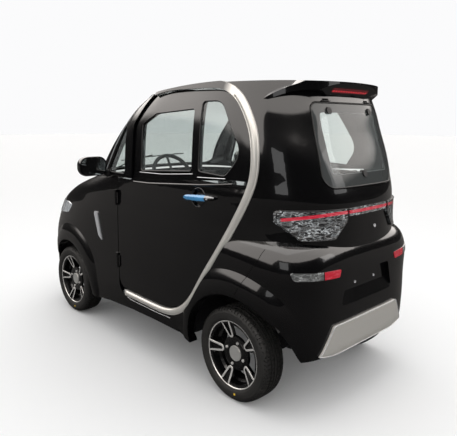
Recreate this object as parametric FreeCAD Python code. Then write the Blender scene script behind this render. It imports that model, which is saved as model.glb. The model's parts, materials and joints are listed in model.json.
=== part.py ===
import FreeCAD, Part
import math
import os

V = FreeCAD.Vector

# Overall size and stance, in mm. The front looks along -Y and +X is the car's left side.
length = 2650.0
side_width = 1200.0
body_height = 1668.0
wheelbase = 1775.0
track = 1006.0
ring_middle_y = 400.0
overrun = 60.0
ring_points = 40

# Wheels and tyres
tyre_radius = 252.0
tyre_width = 145.0
tread_width = 124.0
shoulder_drop = 10.0
rim_radius = 182.0
rim_seat_radius = 165.0
rim_wall = 5.0
rim_width = 127.0
tyre_bore_gap = 0.3
rim_lip = 4.0
lip_bevel_depth = 3.0
lip_bevel_drop = 14.0
dish_depth = 27.0
spoke_depth = 20.0
spoke_pairs = 5
spoke_turn = 36.0
spoke_root_half = 18.0
spoke_tip_half = 34.0
spoke_tip_radius = 176.0
slot_root_half = 9.0
slot_tip_half = 24.0
slot_root_radius = 93.0
slot_tip_radius = 160.0
slot_corner = 5.0
hub_radius = 52.0
hub_face_radius = 76.0
hub_cap_radius = 42.0
hub_cap_height = 6.0
hub_bolt_circle = 128.0
hub_bolt_count = 4
hub_bolt_turn = 72.5
hub_bolt_radius = 8.5
hub_bolt_height = 6.0

# Body walls and gaps
wall = 42.0
roof_wall = 21.0
door_gap = 7.0
glass_thickness = 5.0
glass_inset = 6.0
glass_gap = 0.3
seat_gap = 0.3

# Wheel arches
front_arch_radius = 322.0
rear_arch_radius = 342.0
front_arch_offset = 45.0
rear_arch_offset = 33.0
flare_depth = 34.0
flare_sink = 3.0
flare_trim = 10.0

# Flare stations: angle round the arch from its rear end, width and how far it stands out
front_flare_stations = (
    (-5.0, 70.0, 8.0),
    (15.0, 100.0, 18.0),
    (40.0, 124.0, 23.0),
    (65.0, 130.0, 24.0),
    (90.0, 130.0, 24.0),
    (115.0, 126.0, 24.0),
    (135.0, 116.0, 18.0),
    (150.0, 96.0, 8.0),
)
rear_flare_stations = (
    (186.0, 56.0, 6.0),
    (170.0, 60.0, 10.0),
    (150.0, 96.0, 19.0),
    (130.0, 138.0, 24.0),
    (110.0, 138.0, 24.0),
    (90.0, 138.0, 24.0),
    (70.0, 134.0, 24.0),
    (55.0, 122.0, 20.0),
    (43.0, 100.0, 11.0),
    (33.0, 78.0, 2.0),
)

# Sill, bumper and belt lines
sill_top = 345.0
sill_corner = 40.0
front_bumper_top = 560.0
belt_front_z = 1101.0
belt_rear_z = 1160.0
belt_front_y = -18.0
belt_rear_y = 914.0
shelf_top = 905.0

# Side ribbon
ribbon_width = 38.0
ribbon_proud = 7.0
ribbon_depth = 16.0

# Door opening
door_front_y = -147.0
door_bottom_corner = 75.0
pillar_foot_y = 3.0
pillar_top_y = -24.0
pillar_top_z = 1440.0
header_front_y = 128.0
header_drop = 19.0
header_corner = 9.0

# Door hinge axis
hinge_x = 606.0
hinge_y = -150.0
hinge_pin_radius = 4.0
hinge_lug_root = 6.0
hinge_leaf_reach = 24.0
hinge_leaf_lap = 15.0

# Chassis
rail_half_spacing = 245.0
rail_width = 50.0
rail_height = 70.0
rail_bottom = 262.0
rail_front_y = -1210.0
rail_rear_y = 1200.0
floor_thickness = 18.0
firewall_y = -500.0
firewall_top = 1010.0
deck_y = 560.0
deck_top = 640.0
deck_rear_y = 1235.0

# Running gear
axle_tube_radius = 32.0
motor_radius = 105.0
motor_length = 230.0
steer_axis_x = 425.0
knuckle_half_height = 105.0
knuckle_radius = 24.0
spindle_radius = 20.0
arm_radius = 16.0
spring_radius = 46.0

# Cabin fittings
wheel_ring_radius = 165.0
wheel_ring_tube = 14.0
wheel_ring_y = -335.0
wheel_ring_z = 1055.0
wheel_ring_tilt = 30.0
column_radius = 22.0
column_length = 157.0

# Hatch glass
hatch_top_z = 1541.0
hatch_bottom_z = 1132.0
hatch_top_half = 286.0
hatch_bottom_half = 312.0
hatch_corner = 42.0
hatch_low_corner = 70.0
hatch_hinge_half_spacing = 180.0
hatch_hinge_z = 1503.0
hatch_latch_z = 1190.0
hatch_knob_radius = 17.0
hatch_edge_gap = 6.0
hatch_overlap = 22.0
hatch_notch_drop = 33.0

# Roof crown, splits and inner limits
roof_crown = 34.0
roof_split_z = 1592.0
scuttle_z = 1062.0
pillar_rear_y = 420.0
rear_body_front_y = 600.0
arch_inner_x = 330.0
steer_room_depth = 14.0
steer_room_x = 523.0
area_inner_x = 425.0
running_gap = 0.05
hoop_split_z = 1000.0
frame_inset = 12.0
frame_thickness = 32.0

# Panel splits
front_bumper_rear_y = -1095.0
sill_front_y = -430.0
sill_rear_y = 470.0
rear_bottom_z = 305.0

# Front intake, grille and lamps
intake_half_width = 330.0
intake_bottom = 320.0
intake_top = 440.0
intake_corner = 30.0
intake_top_share = 0.88
grille_lap = 12.0
grille_depth = 14.0
grille_slats = 4
grille_bar = 12.0
front_plate_z = 500.0
lamp_inner_x = 350.0
lamp_outer_x = 572.0
lamp_low_z = 742.0
lamp_high_z = 835.0
lamp_rise = 22.0
lamp_corner = 22.0
lamp_proud = 3.0
lamp_depth = 26.0

# Windscreen and side glass
screen_bottom_half = 505.0
screen_top_half = 405.0
screen_bottom_z = 1118.0
screen_top_z = 1604.0
screen_corner = 40.0
window_corner = 22.0
window_sill_rise = 45.0
quarter_front_y = -310.0
quarter_rear_y = -78.0
quarter_bottom_z = 1122.0
quarter_top_y = -118.0
quarter_top_z = 1420.0
quarter_point_share = 2.5
main_front_low_y = 81.0
main_rear_y = 562.0
main_top_z = 1518.0
main_front_top_y = 190.0
main_front_mid_y = 56.0
main_front_mid_z = 1434.0
light_front_y = 612.0
light_low_y = 812.0
light_low_z = 1172.0
light_rear_y = 905.0
light_mid_z = 1290.0
light_top_y = 735.0
light_top_z = 1556.0
light_corner = 90.0

# Door handle and hinges
handle_front_y = 549.0
handle_rear_y = 775.0
handle_z = 1050.0
handle_rise = 12.0
handle_height = 26.0
handle_corner_share = 0.9
handle_proud = 30.0
handle_thickness = 14.0
handle_foot = 34.0
handle_well_y = 647.0
handle_well_radius = 45.0
handle_well_depth = 14.0
hinge_heights = (971.0, 560.0)
hinge_notch_height = 96.0
hinge_notch_width = 22.0
hinge_leaf_height = 70.0
hinge_barrel_radius = 8.0

# Tail lamps, light bar, reflectors, plate recess, valance, spoiler
tail_lamp_inner_x = 184.0
tail_lamp_outer_x = 488.0
tail_lamp_top_z = 1032.0
tail_lamp_step_z = 972.0
tail_lamp_low_z = 887.0
tail_lamp_lobe_inner_x = 262.0
tail_lamp_lobe_outer_x = 418.0
tail_lamp_corner = 18.0
tail_lamp_proud = 9.0
tail_lamp_depth = 28.0
light_bar_gap = 12.0
light_bar_low_z = 994.0
reflector_inner_x = 262.0
reflector_outer_x = 508.0
reflector_low_z = 706.0
reflector_high_z = 744.0
reflector_rise = 12.0
reflector_corner = 8.0
reflector_proud = 3.0
reflector_depth = 16.0
plate_bottom_half = 240.0
plate_top_half = 188.0
plate_bottom_z = 548.0
plate_top_z = 706.0
plate_corner = 24.0
plate_ramp_z = 612.0
plate_recess_depth = 26.0
plate_half_spacing = 88.0
plate_hole_radius = 3.0
rear_plate_z = 641.0
valance_bottom_half = 378.0
valance_foot_share = 0.72
valance_edge_z = 322.0
valance_bottom_z = 303.0
valance_top_half = 292.0
valance_top_z = 464.0
valance_corner = 20.0
valance_proud = 10.0
valance_depth = 8.0
spoiler_front_y = 700.0
spoiler_lip_z = 1640.0
spoiler_lip_y = 1202.0
spoiler_foot_z = 1570.0
spoiler_foot_y = 1141.0
brake_lamp_half_width = 158.0
brake_lamp_back_y = 1128.0
brake_lamp_low_z = 1591.0
brake_lamp_high_z = 1613.0
brake_lamp_corner = 5.0
hatch_hinge_rise = 9.0
hatch_hinge_radius = 6.0
hatch_leaf_width = 34.0
hatch_pin_reach = 16.0
hatch_pin_radius = 3.5
hatch_leaf_thickness = 4.0
hatch_knob_proud = 9.0

# Mirrors and wing blades
mirror_x = 690.0
mirror_y = -307.0
mirror_z = 1165.0
mirror_width = 190.0
mirror_height = 122.0
mirror_depth = 92.0
mirror_corner_share = 0.85
mirror_section_shares = ((0.0, 0.30), (0.12, 0.66), (0.4, 0.90), (0.75, 1.0), (1.0, 0.98))
mirror_glass_depth = 8.0
mirror_glass_share = 0.90
mirror_arm_share = 0.3
mirror_arm_radius = 18.0
mirror_foot_x = 560.0
mirror_foot_radius = 26.0
mirror_foot_height = 34.0
blade_top_width = 44.0
blade_low_width = 40.0
blade_top_y = -430.0
blade_top_z = 846.0
blade_low_y = -368.0
blade_low_z = 684.0
blade_tip_drop = 24.0
blade_corner = 16.0
blade_proud = 8.0

# Chassis details
outrigger_reach = 535.0
kick_rise = 74.0
kick_front_y = 650.0
kick_rear_y = 760.0
jack_pad_y = 200.0
jack_pad_width = 44.0
jack_pad_length = 80.0
jack_pad_height = 8.0
tow_eye_thickness = 12.0
tow_eye_reach = 44.0
tow_eye_radius = 13.0
battery_front_y = -300.0
battery_rear_y = 480.0
battery_lift = 6.0
axle_inset = 75.0
gear_case_length = 90.0
gear_case_radius = 78.0
spindle_end_x = 535.0
hub_length = 60.0
rear_spring_x = 330.0
arm_spread = 120.0
arm_eye_radius = 26.0
king_pin_radius = 12.0
king_pin_length = 30.0
strut_radius = 15.0
strut_axis_x = 396.0
strut_top = 600.0
strut_collar = 80.0

# Dashboard, steering and seats
dash_low_z = 800.0
dash_mid_z = 930.0
dash_top_z = 1060.0
dash_front_z = 1046.0
dash_rear_y = -395.0
dash_front_y = -585.0
dash_tuck = 34.0
dash_corner = 16.0
dash_ceiling_z = 1071.0
hub_back_offset = 40.0
hub_front_offset = 10.0
hub_pad_radius = 48.0
shaft_length = 60.0
shaft_radius = 12.0
ring_spoke_radius = 9.0
ring_spoke_angles = (0.0, 180.0, 270.0)
seat_width = 470.0
seat_depth = 520.0
seat_thickness = 110.0
seat_front_y = -60.0
seat_base_height = 120.0
seat_back_height = 560.0
seat_corner = 40.0
bench_half_width = 400.0
bench_front_y = 640.0
bench_rear_y = 1070.0
bench_back_height = 380.0

# Places worked out from the sizes above
half_length = length / 2.0
half_width = side_width / 2.0
front_axle_y = -wheelbase / 2.0
rear_axle_y = wheelbase / 2.0
wheel_x = track / 2.0
front_arch_y = front_axle_y + front_arch_offset
rear_arch_y = rear_axle_y + rear_arch_offset

# Ring tables: height share, half width share, front share, rear share, front power, rear power
hull_shares = (
    (0.1340, 0.979, 0.972, 0.972, 7.0, 4.0),
    (0.1980, 0.997, 0.998, 0.995, 7.0, 4.0),
    (0.2700, 1.000, 1.000, 1.000, 7.0, 4.0),
    (0.3600, 1.000, 0.989, 1.000, 7.0, 4.0),
    (0.4320, 1.000, 0.970, 0.998, 6.2, 3.6),
    (0.4800, 0.998, 0.949, 0.995, 5.6, 3.3),
    (0.5160, 0.997, 0.922, 0.989, 5.2, 3.1),
    (0.5470, 0.993, 0.868, 0.986, 5.0, 3.0),
    (0.5830, 0.990, 0.765, 0.985, 5.0, 3.0),
    (0.6145, 0.985, 0.640, 0.985, 5.0, 3.0),
    (0.6385, 0.980, 0.530, 0.981, 5.0, 3.0),
    (0.6595, 0.975, 0.423, 0.978, 5.0, 3.0),
    (0.6835, 0.967, 0.290, 0.974, 5.0, 3.0),
)
tail_shares = (
    (0.1340, 0.979, 0.950, 0.955, 7.0, 5.0),
    (0.1800, 1.007, 0.950, 0.987, 7.0, 5.0),
    (0.2280, 1.017, 0.950, 0.998, 7.0, 5.0),
    (0.3000, 1.020, 0.950, 1.000, 7.0, 5.0),
    (0.3840, 1.020, 0.950, 1.000, 7.0, 5.0),
    (0.4590, 1.015, 0.950, 0.998, 7.0, 5.0),
    (0.4800, 1.009, 0.950, 0.993, 7.0, 4.8),
    (0.4990, 0.995, 0.950, 0.983, 7.0, 4.6),
    (0.5130, 0.974, 0.950, 0.967, 7.0, 4.4),
    (0.5270, 0.938, 0.950, 0.944, 7.0, 4.2),
)
cabin_shares = (
    (0.4850, 0.993, 0.470, 0.986, 5.0, 3.00),
    (0.5516, 0.993, 0.480, 0.986, 5.0, 3.00),
    (0.6055, 0.987, 0.483, 0.985, 5.0, 3.00),
    (0.6655, 0.970, 0.472, 0.975, 5.0, 3.15),
    (0.6948, 0.962, 0.442, 0.965, 5.0, 3.20),
    (0.7698, 0.937, 0.358, 0.933, 5.0, 3.50),
    (0.8303, 0.917, 0.272, 0.907, 5.0, 3.50),
    (0.8831, 0.892, 0.189, 0.888, 5.0, 3.50),
    (0.9281, 0.863, 0.097, 0.869, 5.0, 3.50),
    (0.9580, 0.838, 0.017, 0.857, 5.0, 3.50),
    (0.9850, 0.812, -0.065, 0.845, 5.0, 3.50),
    (1.0300, 0.765, -0.200, 0.825, 5.0, 3.50),
)

# Roof crown: stations along Y with their middle height, and stations across
roof_shares = ((-0.60, 0.935), (-0.35, 0.948), (-0.12, 0.962), (0.05, 0.975), (0.25, 0.991),
               (0.45, 1.0), (0.65, 0.999), (0.85, 0.990), (1.02, 0.974))
roof_across_shares = (-1.1, -0.6, 0.0, 0.6, 1.1)
roof_depth_share = 0.6

# Spoiler: plan outline as a ring row, then its upper and lower edge from the middle to the root,
# as shares of the half width across and of the body height.
spoiler_plan_shares = (0.9000, 0.8667, 0.200, 0.9060, 5.0, 3.00)
spoiler_top_shares = ((0.0, 1.006), (0.330, 0.999), (0.542, 0.9840), (0.588, 0.9754), (0.632, 0.9688),
                      (0.670, 0.9598), (0.708, 0.9490), (0.757, 0.9269), (0.790, 0.9090))
spoiler_low_shares = ((0.477, 0.9586), (0.540, 0.9574), (0.607, 0.9538), (0.668, 0.9454),
                      (0.712, 0.9359), (0.757, 0.9215), (0.790, 0.9070))
spoiler_housing_shares = ((0.400, 0.9586), (0.285, 0.9460))

# Lower edge of the sill from the front arch to the rear arch
sill_line_shares = ((-0.445, 0.120), (-0.392, 0.1325), (-0.330, 0.1355), (-0.224, 0.1463),
                    (-0.006, 0.1541), (0.186, 0.1553), (0.356, 0.1523), (0.444, 0.1343),
                    (0.500, 0.120))

# Flare cross-section: share of the width outwards and share of the full height
flare_shares = ((0.0, 0.80), (0.14, 1.0), (0.36, 1.0), (0.62, 0.78), (0.84, 0.28), (1.0, 0.0))
flare_limit_share = 0.985
cross_member_shares = (-0.89, -0.42, 0.42)
outrigger_shares = (-0.355, 0.0, 0.40)

# Side ribbon's middle line from the front of the sill, round behind the door, to the windscreen
# header: shares of the half length along Y and of the body height along Z.
ribbon_shares = (
    (-0.0550, 0.2160),
    (0.0700, 0.2138),
    (0.1900, 0.2120),
    (0.2700, 0.2135),
    (0.3300, 0.2225),
    (0.3900, 0.2450),
    (0.4450, 0.2830),
    (0.4950, 0.3370),
    (0.5450, 0.3960),
    (0.5900, 0.4480),
    (0.6300, 0.4990),
    (0.6850, 0.5790),
    (0.7270, 0.6500),
    (0.7460, 0.7100),
    (0.7450, 0.7770),
    (0.7230, 0.8450),
    (0.6890, 0.8970),
    (0.6500, 0.9360),
    (0.6080, 0.9610),
    (0.5500, 0.9780),
    (0.4700, 0.9830),
    (0.3700, 0.9845),
    (0.2700, 0.9840),
    (0.1900, 0.9800),
    (0.1150, 0.9700),
)


# Geometry helpers
def ring(row, inset, drop, start):
    """One closed plan outline of the body: a rounded form with its own front and rear reach."""
    z_share, width_share, front_share, rear_share, front_power, rear_power = row
    reach_x = half_width * width_share - inset
    reach_front = ring_middle_y + half_length * front_share - inset
    reach_rear = half_length * rear_share - ring_middle_y - inset
    z = body_height * z_share - drop
    points = []
    for step in range(ring_points):
        angle = math.radians(start) + 2.0 * math.pi * step / ring_points
        across, along = math.cos(angle), math.sin(angle)
        power = rear_power if along > 0 else front_power
        reach_y = reach_rear if along > 0 else reach_front
        radius = (abs(across) ** power + abs(along) ** power) ** (-1.0 / power)
        points.append(V(reach_x * radius * across, ring_middle_y + reach_y * radius * along, z))
    curve = Part.BSplineCurve()
    knots = [float(step) / ring_points for step in range(ring_points + 1)]
    curve.interpolate(Points=points, PeriodicFlag=True, Parameters=knots)
    return Part.Wire(curve.toShape())


def body_loft(rows, inset, drop, start):
    """Solid through the plan outlines, moved inwards by inset and down by drop."""
    wires = [ring(row, inset, drop, start) for row in rows]
    return Part.makeLoft(wires, True, False)


def rounded_path(corners, place):
    """Edges of an open path whose inner corners, given as (u, v, radius), are rounded."""
    edges = []
    last = place(corners[0][0], corners[0][1])
    for index in range(1, len(corners) - 1):
        u, v, radius = corners[index]
        before = corners[index - 1]
        after = corners[index + 1]
        to_before = (before[0] - u, before[1] - v)
        to_after = (after[0] - u, after[1] - v)
        len_before = math.hypot(*to_before)
        len_after = math.hypot(*to_after)
        unit_before = (to_before[0] / len_before, to_before[1] / len_before)
        unit_after = (to_after[0] / len_after, to_after[1] / len_after)
        cosine = unit_before[0] * unit_after[0] + unit_before[1] * unit_after[1]
        half_turn = math.acos(max(-1.0, min(1.0, cosine))) / 2.0
        if radius <= 0:
            corner = place(u, v)
            edges.append(Part.LineSegment(last, corner).toShape())
            last = corner
            continue
        cut = radius / math.tan(half_turn)
        start = place(u + unit_before[0] * cut, v + unit_before[1] * cut)
        end = place(u + unit_after[0] * cut, v + unit_after[1] * cut)
        bisector = (unit_before[0] + unit_after[0], unit_before[1] + unit_after[1])
        size = math.hypot(*bisector)
        reach = radius / math.sin(half_turn) - radius
        middle = place(u + bisector[0] / size * reach, v + bisector[1] / size * reach)
        if start.distanceToPoint(last) > radius * 1e-6:
            edges.append(Part.LineSegment(last, start).toShape())
        edges.append(Part.Arc(start, middle, end).toShape())
        last = end
    end = place(corners[-1][0], corners[-1][1])
    if end.distanceToPoint(last) > 0:
        edges.append(Part.LineSegment(last, end).toShape())
    return edges


def closed_wire(corners, place):
    """Closed outline with rounded corners, begun half way along its last side."""
    first, last = corners[0], corners[-1]
    middle = ((first[0] + last[0]) / 2.0, (first[1] + last[1]) / 2.0, 0.0)
    return Part.Wire(rounded_path([middle] + list(corners) + [middle], place))


def on_side(x):
    return lambda y, z: V(x, y, z)


def on_front(y):
    return lambda x, z: V(x, y, z)


def on_plan(z):
    return lambda x, y: V(x, y, z)


def prism(wire, along):
    """Solid swept straight from a closed flat wire."""
    return Part.Face(wire).extrude(along)


def side_block(corners, x_low, x_high):
    return prism(closed_wire(corners, on_side(x_low)), V(x_high - x_low, 0, 0))


def front_block(corners, y_low, y_high):
    return prism(closed_wire(corners, on_front(y_low)), V(0, y_high - y_low, 0))


def box(x_low, x_high, y_low, y_high, z_low, z_high):
    return Part.makeBox(x_high - x_low, y_high - y_low, z_high - z_low, V(x_low, y_low, z_low))


def rod(start, end, radius):
    """Round bar from start to end."""
    run = end.sub(start)
    return Part.makeCylinder(radius, run.Length, start, run)


def mirrored(shape):
    """Copy on the car's other side."""
    return shape.mirror(V(0, 0, 0), V(1, 0, 0))


def both_sides(shape):
    return Part.makeCompound([shape, mirrored(shape)])


def joined(shapes):
    """One solid from pieces that overlap or share a face."""
    result = shapes[0].multiFuse(shapes[1:]) if len(shapes) > 1 else shapes[0]
    return result.removeSplitter()


def largest(shape):
    """The biggest solid of a shape, leaving slivers behind."""
    return max(shape.Solids, key=lambda solid: solid.Volume)


def revolved(profile, centre, axis):
    """Full turn of a flat outline of V points."""
    wire = Part.makePolygon(list(profile) + [profile[0]])
    return Part.Face(wire).revolve(centre, axis, 360)


def save(name, shape):
    """Write one node after putting its solids in one shape."""
    solids = [solid for solid in shape.Solids if solid.Volume > 0]
    piece = solids[0] if len(solids) == 1 else Part.makeCompound(solids)
    piece.exportStep("parts/" + name + ".step")
    volume = sum(solid.Volume for solid in solids) / 1e6
    print(name, len(solids), "solids", round(volume, 2), "litres", piece.isValid())


# Side outlines shared by the door, its opening, the ribbon and the sill
def ribbon_edge(offset):
    """Curve beside the ribbon's middle line; a positive offset lies outside the door."""
    centre = [(half_length * y, body_height * z) for y, z in ribbon_shares]
    line = Part.BSplineCurve()
    line.interpolate([V(0, y, z) for y, z in centre])
    points = []
    for y, z in centre:
        here = V(0, y, z)
        tangent = line.tangent(line.parameter(here))[0]
        points.append(V(0, y + tangent.z * offset, z - tangent.y * offset))
    curve = Part.BSplineCurve()
    curve.interpolate(points)
    return curve


def door_outline(ribbon_offset, shrink):
    """Closed side outline of the door area: ribbon_offset from the ribbon's middle, less shrink."""
    rear = ribbon_edge(ribbon_offset - shrink)
    start = rear.StartPoint
    end = rear.EndPoint
    corners = [
        (end.y, end.z, 0.0),
        (header_front_y + shrink, end.z - header_drop, header_corner),
        (pillar_top_y + shrink, pillar_top_z - shrink, door_bottom_corner),
        (pillar_foot_y + shrink, belt_front_z - shrink, header_corner + shrink),
        (door_front_y + shrink, belt_front_z - shrink, header_corner),
        (door_front_y + shrink, start.z, door_bottom_corner),
        (start.y, start.z, 0.0),
    ]
    edges = [rear.toShape()] + rounded_path(corners, on_side(0.0))
    return Part.Wire(Part.__sortEdges__(edges))


def belt_z(y):
    """Height of the shelf under the side windows."""
    slope = (belt_rear_z - belt_front_z) / (belt_rear_y - belt_front_y)
    return belt_front_z + slope * (y - belt_front_y)


def side_sweep(wire, x_low, x_high):
    moved = wire.copy()
    moved.translate(V(x_low, 0, 0))
    return prism(moved, V(x_high - x_low, 0, 0))


def ribbon_wire(half):
    inner = ribbon_edge(-half)
    outer = ribbon_edge(half)
    first = Part.LineSegment(inner.StartPoint, outer.StartPoint).toShape()
    last = Part.LineSegment(inner.EndPoint, outer.EndPoint).toShape()
    return Part.Wire(Part.__sortEdges__([inner.toShape(), last, outer.toShape(), first]))


# Body volumes
lofts = {}


def stored_loft(name, rows, inset, drop, start):
    key = (name, inset, drop)
    if key not in lofts:
        lofts[key] = body_loft(rows, inset, drop, start)
    return lofts[key]


def hull(inset, drop):
    return stored_loft("hull", hull_shares, inset, drop, 90.0)


def tail(inset, drop):
    return stored_loft("tail", tail_shares, inset, drop, -90.0)


def cabin(inset, drop):
    return stored_loft("cabin", cabin_shares, inset, drop, -90.0)


def layer(volume, outer_inset, inner_inset, block):
    """The part of a block between two insets of a body volume."""
    return block.common(inset_form(volume, outer_inset)).cut(inset_form(volume, inner_inset))


def inset_form(volume, inset):
    return volume(inset, max(inset, 0.0) * roof_wall / wall)


def under_roof(lift):
    """Everything below the crowned roof surface, moved up by lift."""
    rows = []
    for y_share, z_share in roof_shares:
        row = []
        for x_share in roof_across_shares:
            z = body_height * z_share - roof_crown * x_share ** 2 + lift
            row.append(V(half_width * x_share, half_length * y_share, z))
        rows.append(row)
    surface = Part.BSplineSurface()
    surface.interpolate(rows)
    return surface.toShape().extrude(V(0, 0, -body_height * roof_depth_share))


def above_belt():
    """Everything above the shelf under the side windows."""
    far = half_length * 2.0
    corners = [
        (-far, belt_front_z, 0),
        (belt_front_y, belt_front_z, 0),
        (far, belt_z(far), 0),
        (far, body_height * 2.0, 0),
        (-far, body_height * 2.0, 0),
    ]
    return side_zone(corners)


def below_sill():
    """Everything under the sill's lower edge, which dips towards each wheel."""
    line = [(half_length * y_share, body_height * z_share, sill_corner)
            for y_share, z_share in sill_line_shares]
    return side_zone([(line[0][0], -overrun, 0)] + line + [(line[-1][0], -overrun, 0)])


def side_zone(corners):
    return side_block(corners, -half_width * 2.0, half_width * 2.0)


def area_inside(ribbon_offset, shrink):
    """Both sides' door area, out to ribbon_offset from the ribbon's middle line."""
    wire = door_outline(ribbon_offset, shrink)
    return both_sides(side_sweep(wire, area_inner_x, half_width * 2.0))


def arch_cut(centre_y, radius, high):
    """Wheel opening in both sides: round above the axle and straight below it."""
    low = arch_inner_x
    cut = Part.makeCylinder(radius, high - low, V(low, centre_y, tyre_radius), V(1, 0, 0))
    below = box(low, high, centre_y - radius, centre_y + radius, 0, tyre_radius)
    return both_sides(joined([cut, below]))


def skin_x(rows, y, z):
    """Half width of a ring table's body at a place along its side."""
    heights = [body_height * row[0] for row in rows]
    index = 0
    while index < len(rows) - 2 and z > heights[index + 1]:
        index += 1
    step = heights[index + 1] - heights[index]
    share = max(0.0, min(1.0, (z - heights[index]) / step))
    mixed = [low + (high - low) * share for low, high in zip(rows[index], rows[index + 1])]
    reach = half_length * mixed[2] + ring_middle_y
    power = mixed[4]
    if y > ring_middle_y:
        reach = half_length * mixed[3] - ring_middle_y
        power = mixed[5]
    along = min(abs(y - ring_middle_y) / reach, flare_limit_share)
    return half_width * mixed[1] * (1.0 - along ** power) ** (1.0 / power)


def flare_section(rows, centre_y, radius, station):
    """Cross-section of a wheel-arch flare: a rounded shoulder that dies into the skin."""
    angle, width, proud = math.radians(station[0]), station[1], station[2]
    outer = []
    for out_share, proud_share in flare_shares:
        reach = radius - flare_trim + (width + flare_trim) * out_share
        y = centre_y + reach * math.cos(angle)
        z = tyre_radius + reach * math.sin(angle)
        sink = flare_sink if proud_share == 0 else 0.0
        outer.append(V(skin_x(rows, y, z) + proud * proud_share - sink, y, z))
    curve = Part.BSplineCurve()
    curve.interpolate(Points=outer)
    far = V(outer[-1].x - flare_depth, outer[-1].y, outer[-1].z)
    near = V(outer[0].x - flare_depth, outer[0].y, outer[0].z)
    sides = [Part.LineSegment(outer[-1], far), Part.LineSegment(far, near), Part.LineSegment(near, outer[0])]
    return Part.Wire([curve.toShape()] + [side.toShape() for side in sides])


def flare(rows, centre_y, radius, stations):
    """Raised flare along a wheel arch, lofted through its cross-sections."""
    wires = [flare_section(rows, centre_y, radius, station) for station in stations]
    return both_sides(Part.makeLoft(wires, True, False))


# Body panels
def make_front_body(forms):
    """Bonnet, front wings and scuttle in one moulding, hollow underneath."""
    panel = forms["hull_shell"].common(side_zone([
        (-half_length * 2.0, front_bumper_top, 0),
        (front_bumper_rear_y, front_bumper_top, 0),
        (front_bumper_rear_y, 0, 0),
        (sill_front_y, 0, 0),
        (sill_front_y, sill_top, 0),
        (door_front_y, sill_top, 0),
        (door_front_y, body_height, 0),
        (-half_length * 2.0, body_height, 0),
    ]))
    panel = panel.cut(forms["above_belt"]).cut(forms["cabin_top"])
    panel = panel.fuse(forms["front_flares"]).cut(forms["front_arches"])
    panel = panel.cut(hinge_notches()).cut(forms["headlamps"]).cut(forms["below_sill"])
    panel = panel.fuse(hinge_lugs())
    save("front_body", panel)


def hinge_notches():
    """Recesses in the wing's rear edge that the door hinges sit in."""
    notches = []
    for z in hinge_heights:
        low, high = z - hinge_notch_height / 2.0, z + hinge_notch_height / 2.0
        notches.append(box(half_width - wall * 2.0, half_width * 2.0, door_front_y - hinge_notch_width,
                           door_front_y + overrun, low, high))
    return both_sides(Part.makeCompound(notches))


def hinge_lugs():
    """Body side of each door hinge: two eyes on arms and the pin between them."""
    lugs = []
    for z in hinge_heights:
        pin_low = z - hinge_notch_height / 2.0
        pin_high = z + hinge_notch_height / 2.0
        for low, high in ((pin_low, z - hinge_leaf_height / 2.0 - seat_gap),
                          (z + hinge_leaf_height / 2.0 + seat_gap, pin_high)):
            lugs.append(rod(V(hinge_x, hinge_y, low), V(hinge_x, hinge_y, high), hinge_barrel_radius))
            lugs.append(box(hinge_x - hinge_leaf_reach, hinge_x,
                            door_front_y - hinge_notch_width - hinge_lug_root, hinge_y, low, high))
        lugs.append(rod(V(hinge_x, hinge_y, pin_low), V(hinge_x, hinge_y, pin_high), hinge_pin_radius))
    return both_sides(joined(lugs))


def make_front_bumper(forms):
    panel = forms["hull_shell"].common(side_zone([
        (-half_length * 2.0, front_bumper_top, 0),
        (front_bumper_rear_y, front_bumper_top, 0),
        (front_bumper_rear_y, 0, 0),
        (-half_length * 2.0, 0, 0),
    ]))
    intake = front_block([
        (-intake_half_width, intake_bottom, intake_corner),
        (intake_half_width, intake_bottom, intake_corner),
        (intake_half_width * intake_top_share, intake_top, intake_corner),
        (-intake_half_width * intake_top_share, intake_top, intake_corner),
    ], -half_length - overrun, front_axle_y)
    panel = panel.cut(forms["front_flares"]).cut(forms["front_arches"]).cut(intake)
    panel = panel.cut(forms["steer_room"])
    holes = plate_holes(-half_length - overrun, front_axle_y, front_plate_z)
    save("front_bumper", panel.cut(holes))


def plate_holes(y_low, y_high, z):
    holes = []
    for x in (-plate_half_spacing, plate_half_spacing):
        holes.append(rod(V(x, y_low, z), V(x, y_high, z), plate_hole_radius))
    return Part.makeCompound(holes)


def make_grille(forms):
    """Slatted insert behind the bumper's intake."""
    frame_block = front_block([
        (-intake_half_width, intake_bottom - grille_lap, 0),
        (intake_half_width, intake_bottom - grille_lap, 0),
        (intake_half_width, intake_top + grille_lap, 0),
        (-intake_half_width, intake_top + grille_lap, 0),
    ], -half_length - overrun, front_axle_y)
    grille = layer(hull, wall + seat_gap, wall + grille_depth, frame_block)
    pitch = (intake_top - intake_bottom) / grille_slats
    slots = []
    for index in range(grille_slats):
        low = intake_bottom + pitch * index
        high = low + pitch - grille_bar
        x = intake_half_width - grille_lap
        slots.append(box(-x, x, -half_length - overrun, front_axle_y, low, high))
    save("front_grille", grille.cut(Part.makeCompound(slots)))


def make_headlamps(forms):
    save("headlamps", forms["headlamps"])


def headlamp_solids():
    outline = [
        (lamp_inner_x, lamp_low_z, lamp_corner),
        (lamp_outer_x, lamp_low_z + lamp_rise, lamp_corner),
        (lamp_outer_x, lamp_high_z + lamp_rise, lamp_corner),
        (lamp_inner_x, lamp_high_z, lamp_corner),
    ]
    block = front_block(outline, -half_length - overrun, front_axle_y + tyre_radius)
    return both_sides(layer(hull, -lamp_proud, lamp_depth, block))


def make_sills(forms):
    panel = forms["hull_shell"].common(side_zone([
        (sill_front_y, 0, 0),
        (sill_rear_y, 0, 0),
        (sill_rear_y, front_bumper_top, 0),
        (door_front_y, front_bumper_top, 0),
        (door_front_y, sill_top, 0),
        (sill_front_y, sill_top, 0),
    ]))
    save("sills", panel.cut(forms["area_outer"]).cut(forms["below_sill"]))


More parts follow.
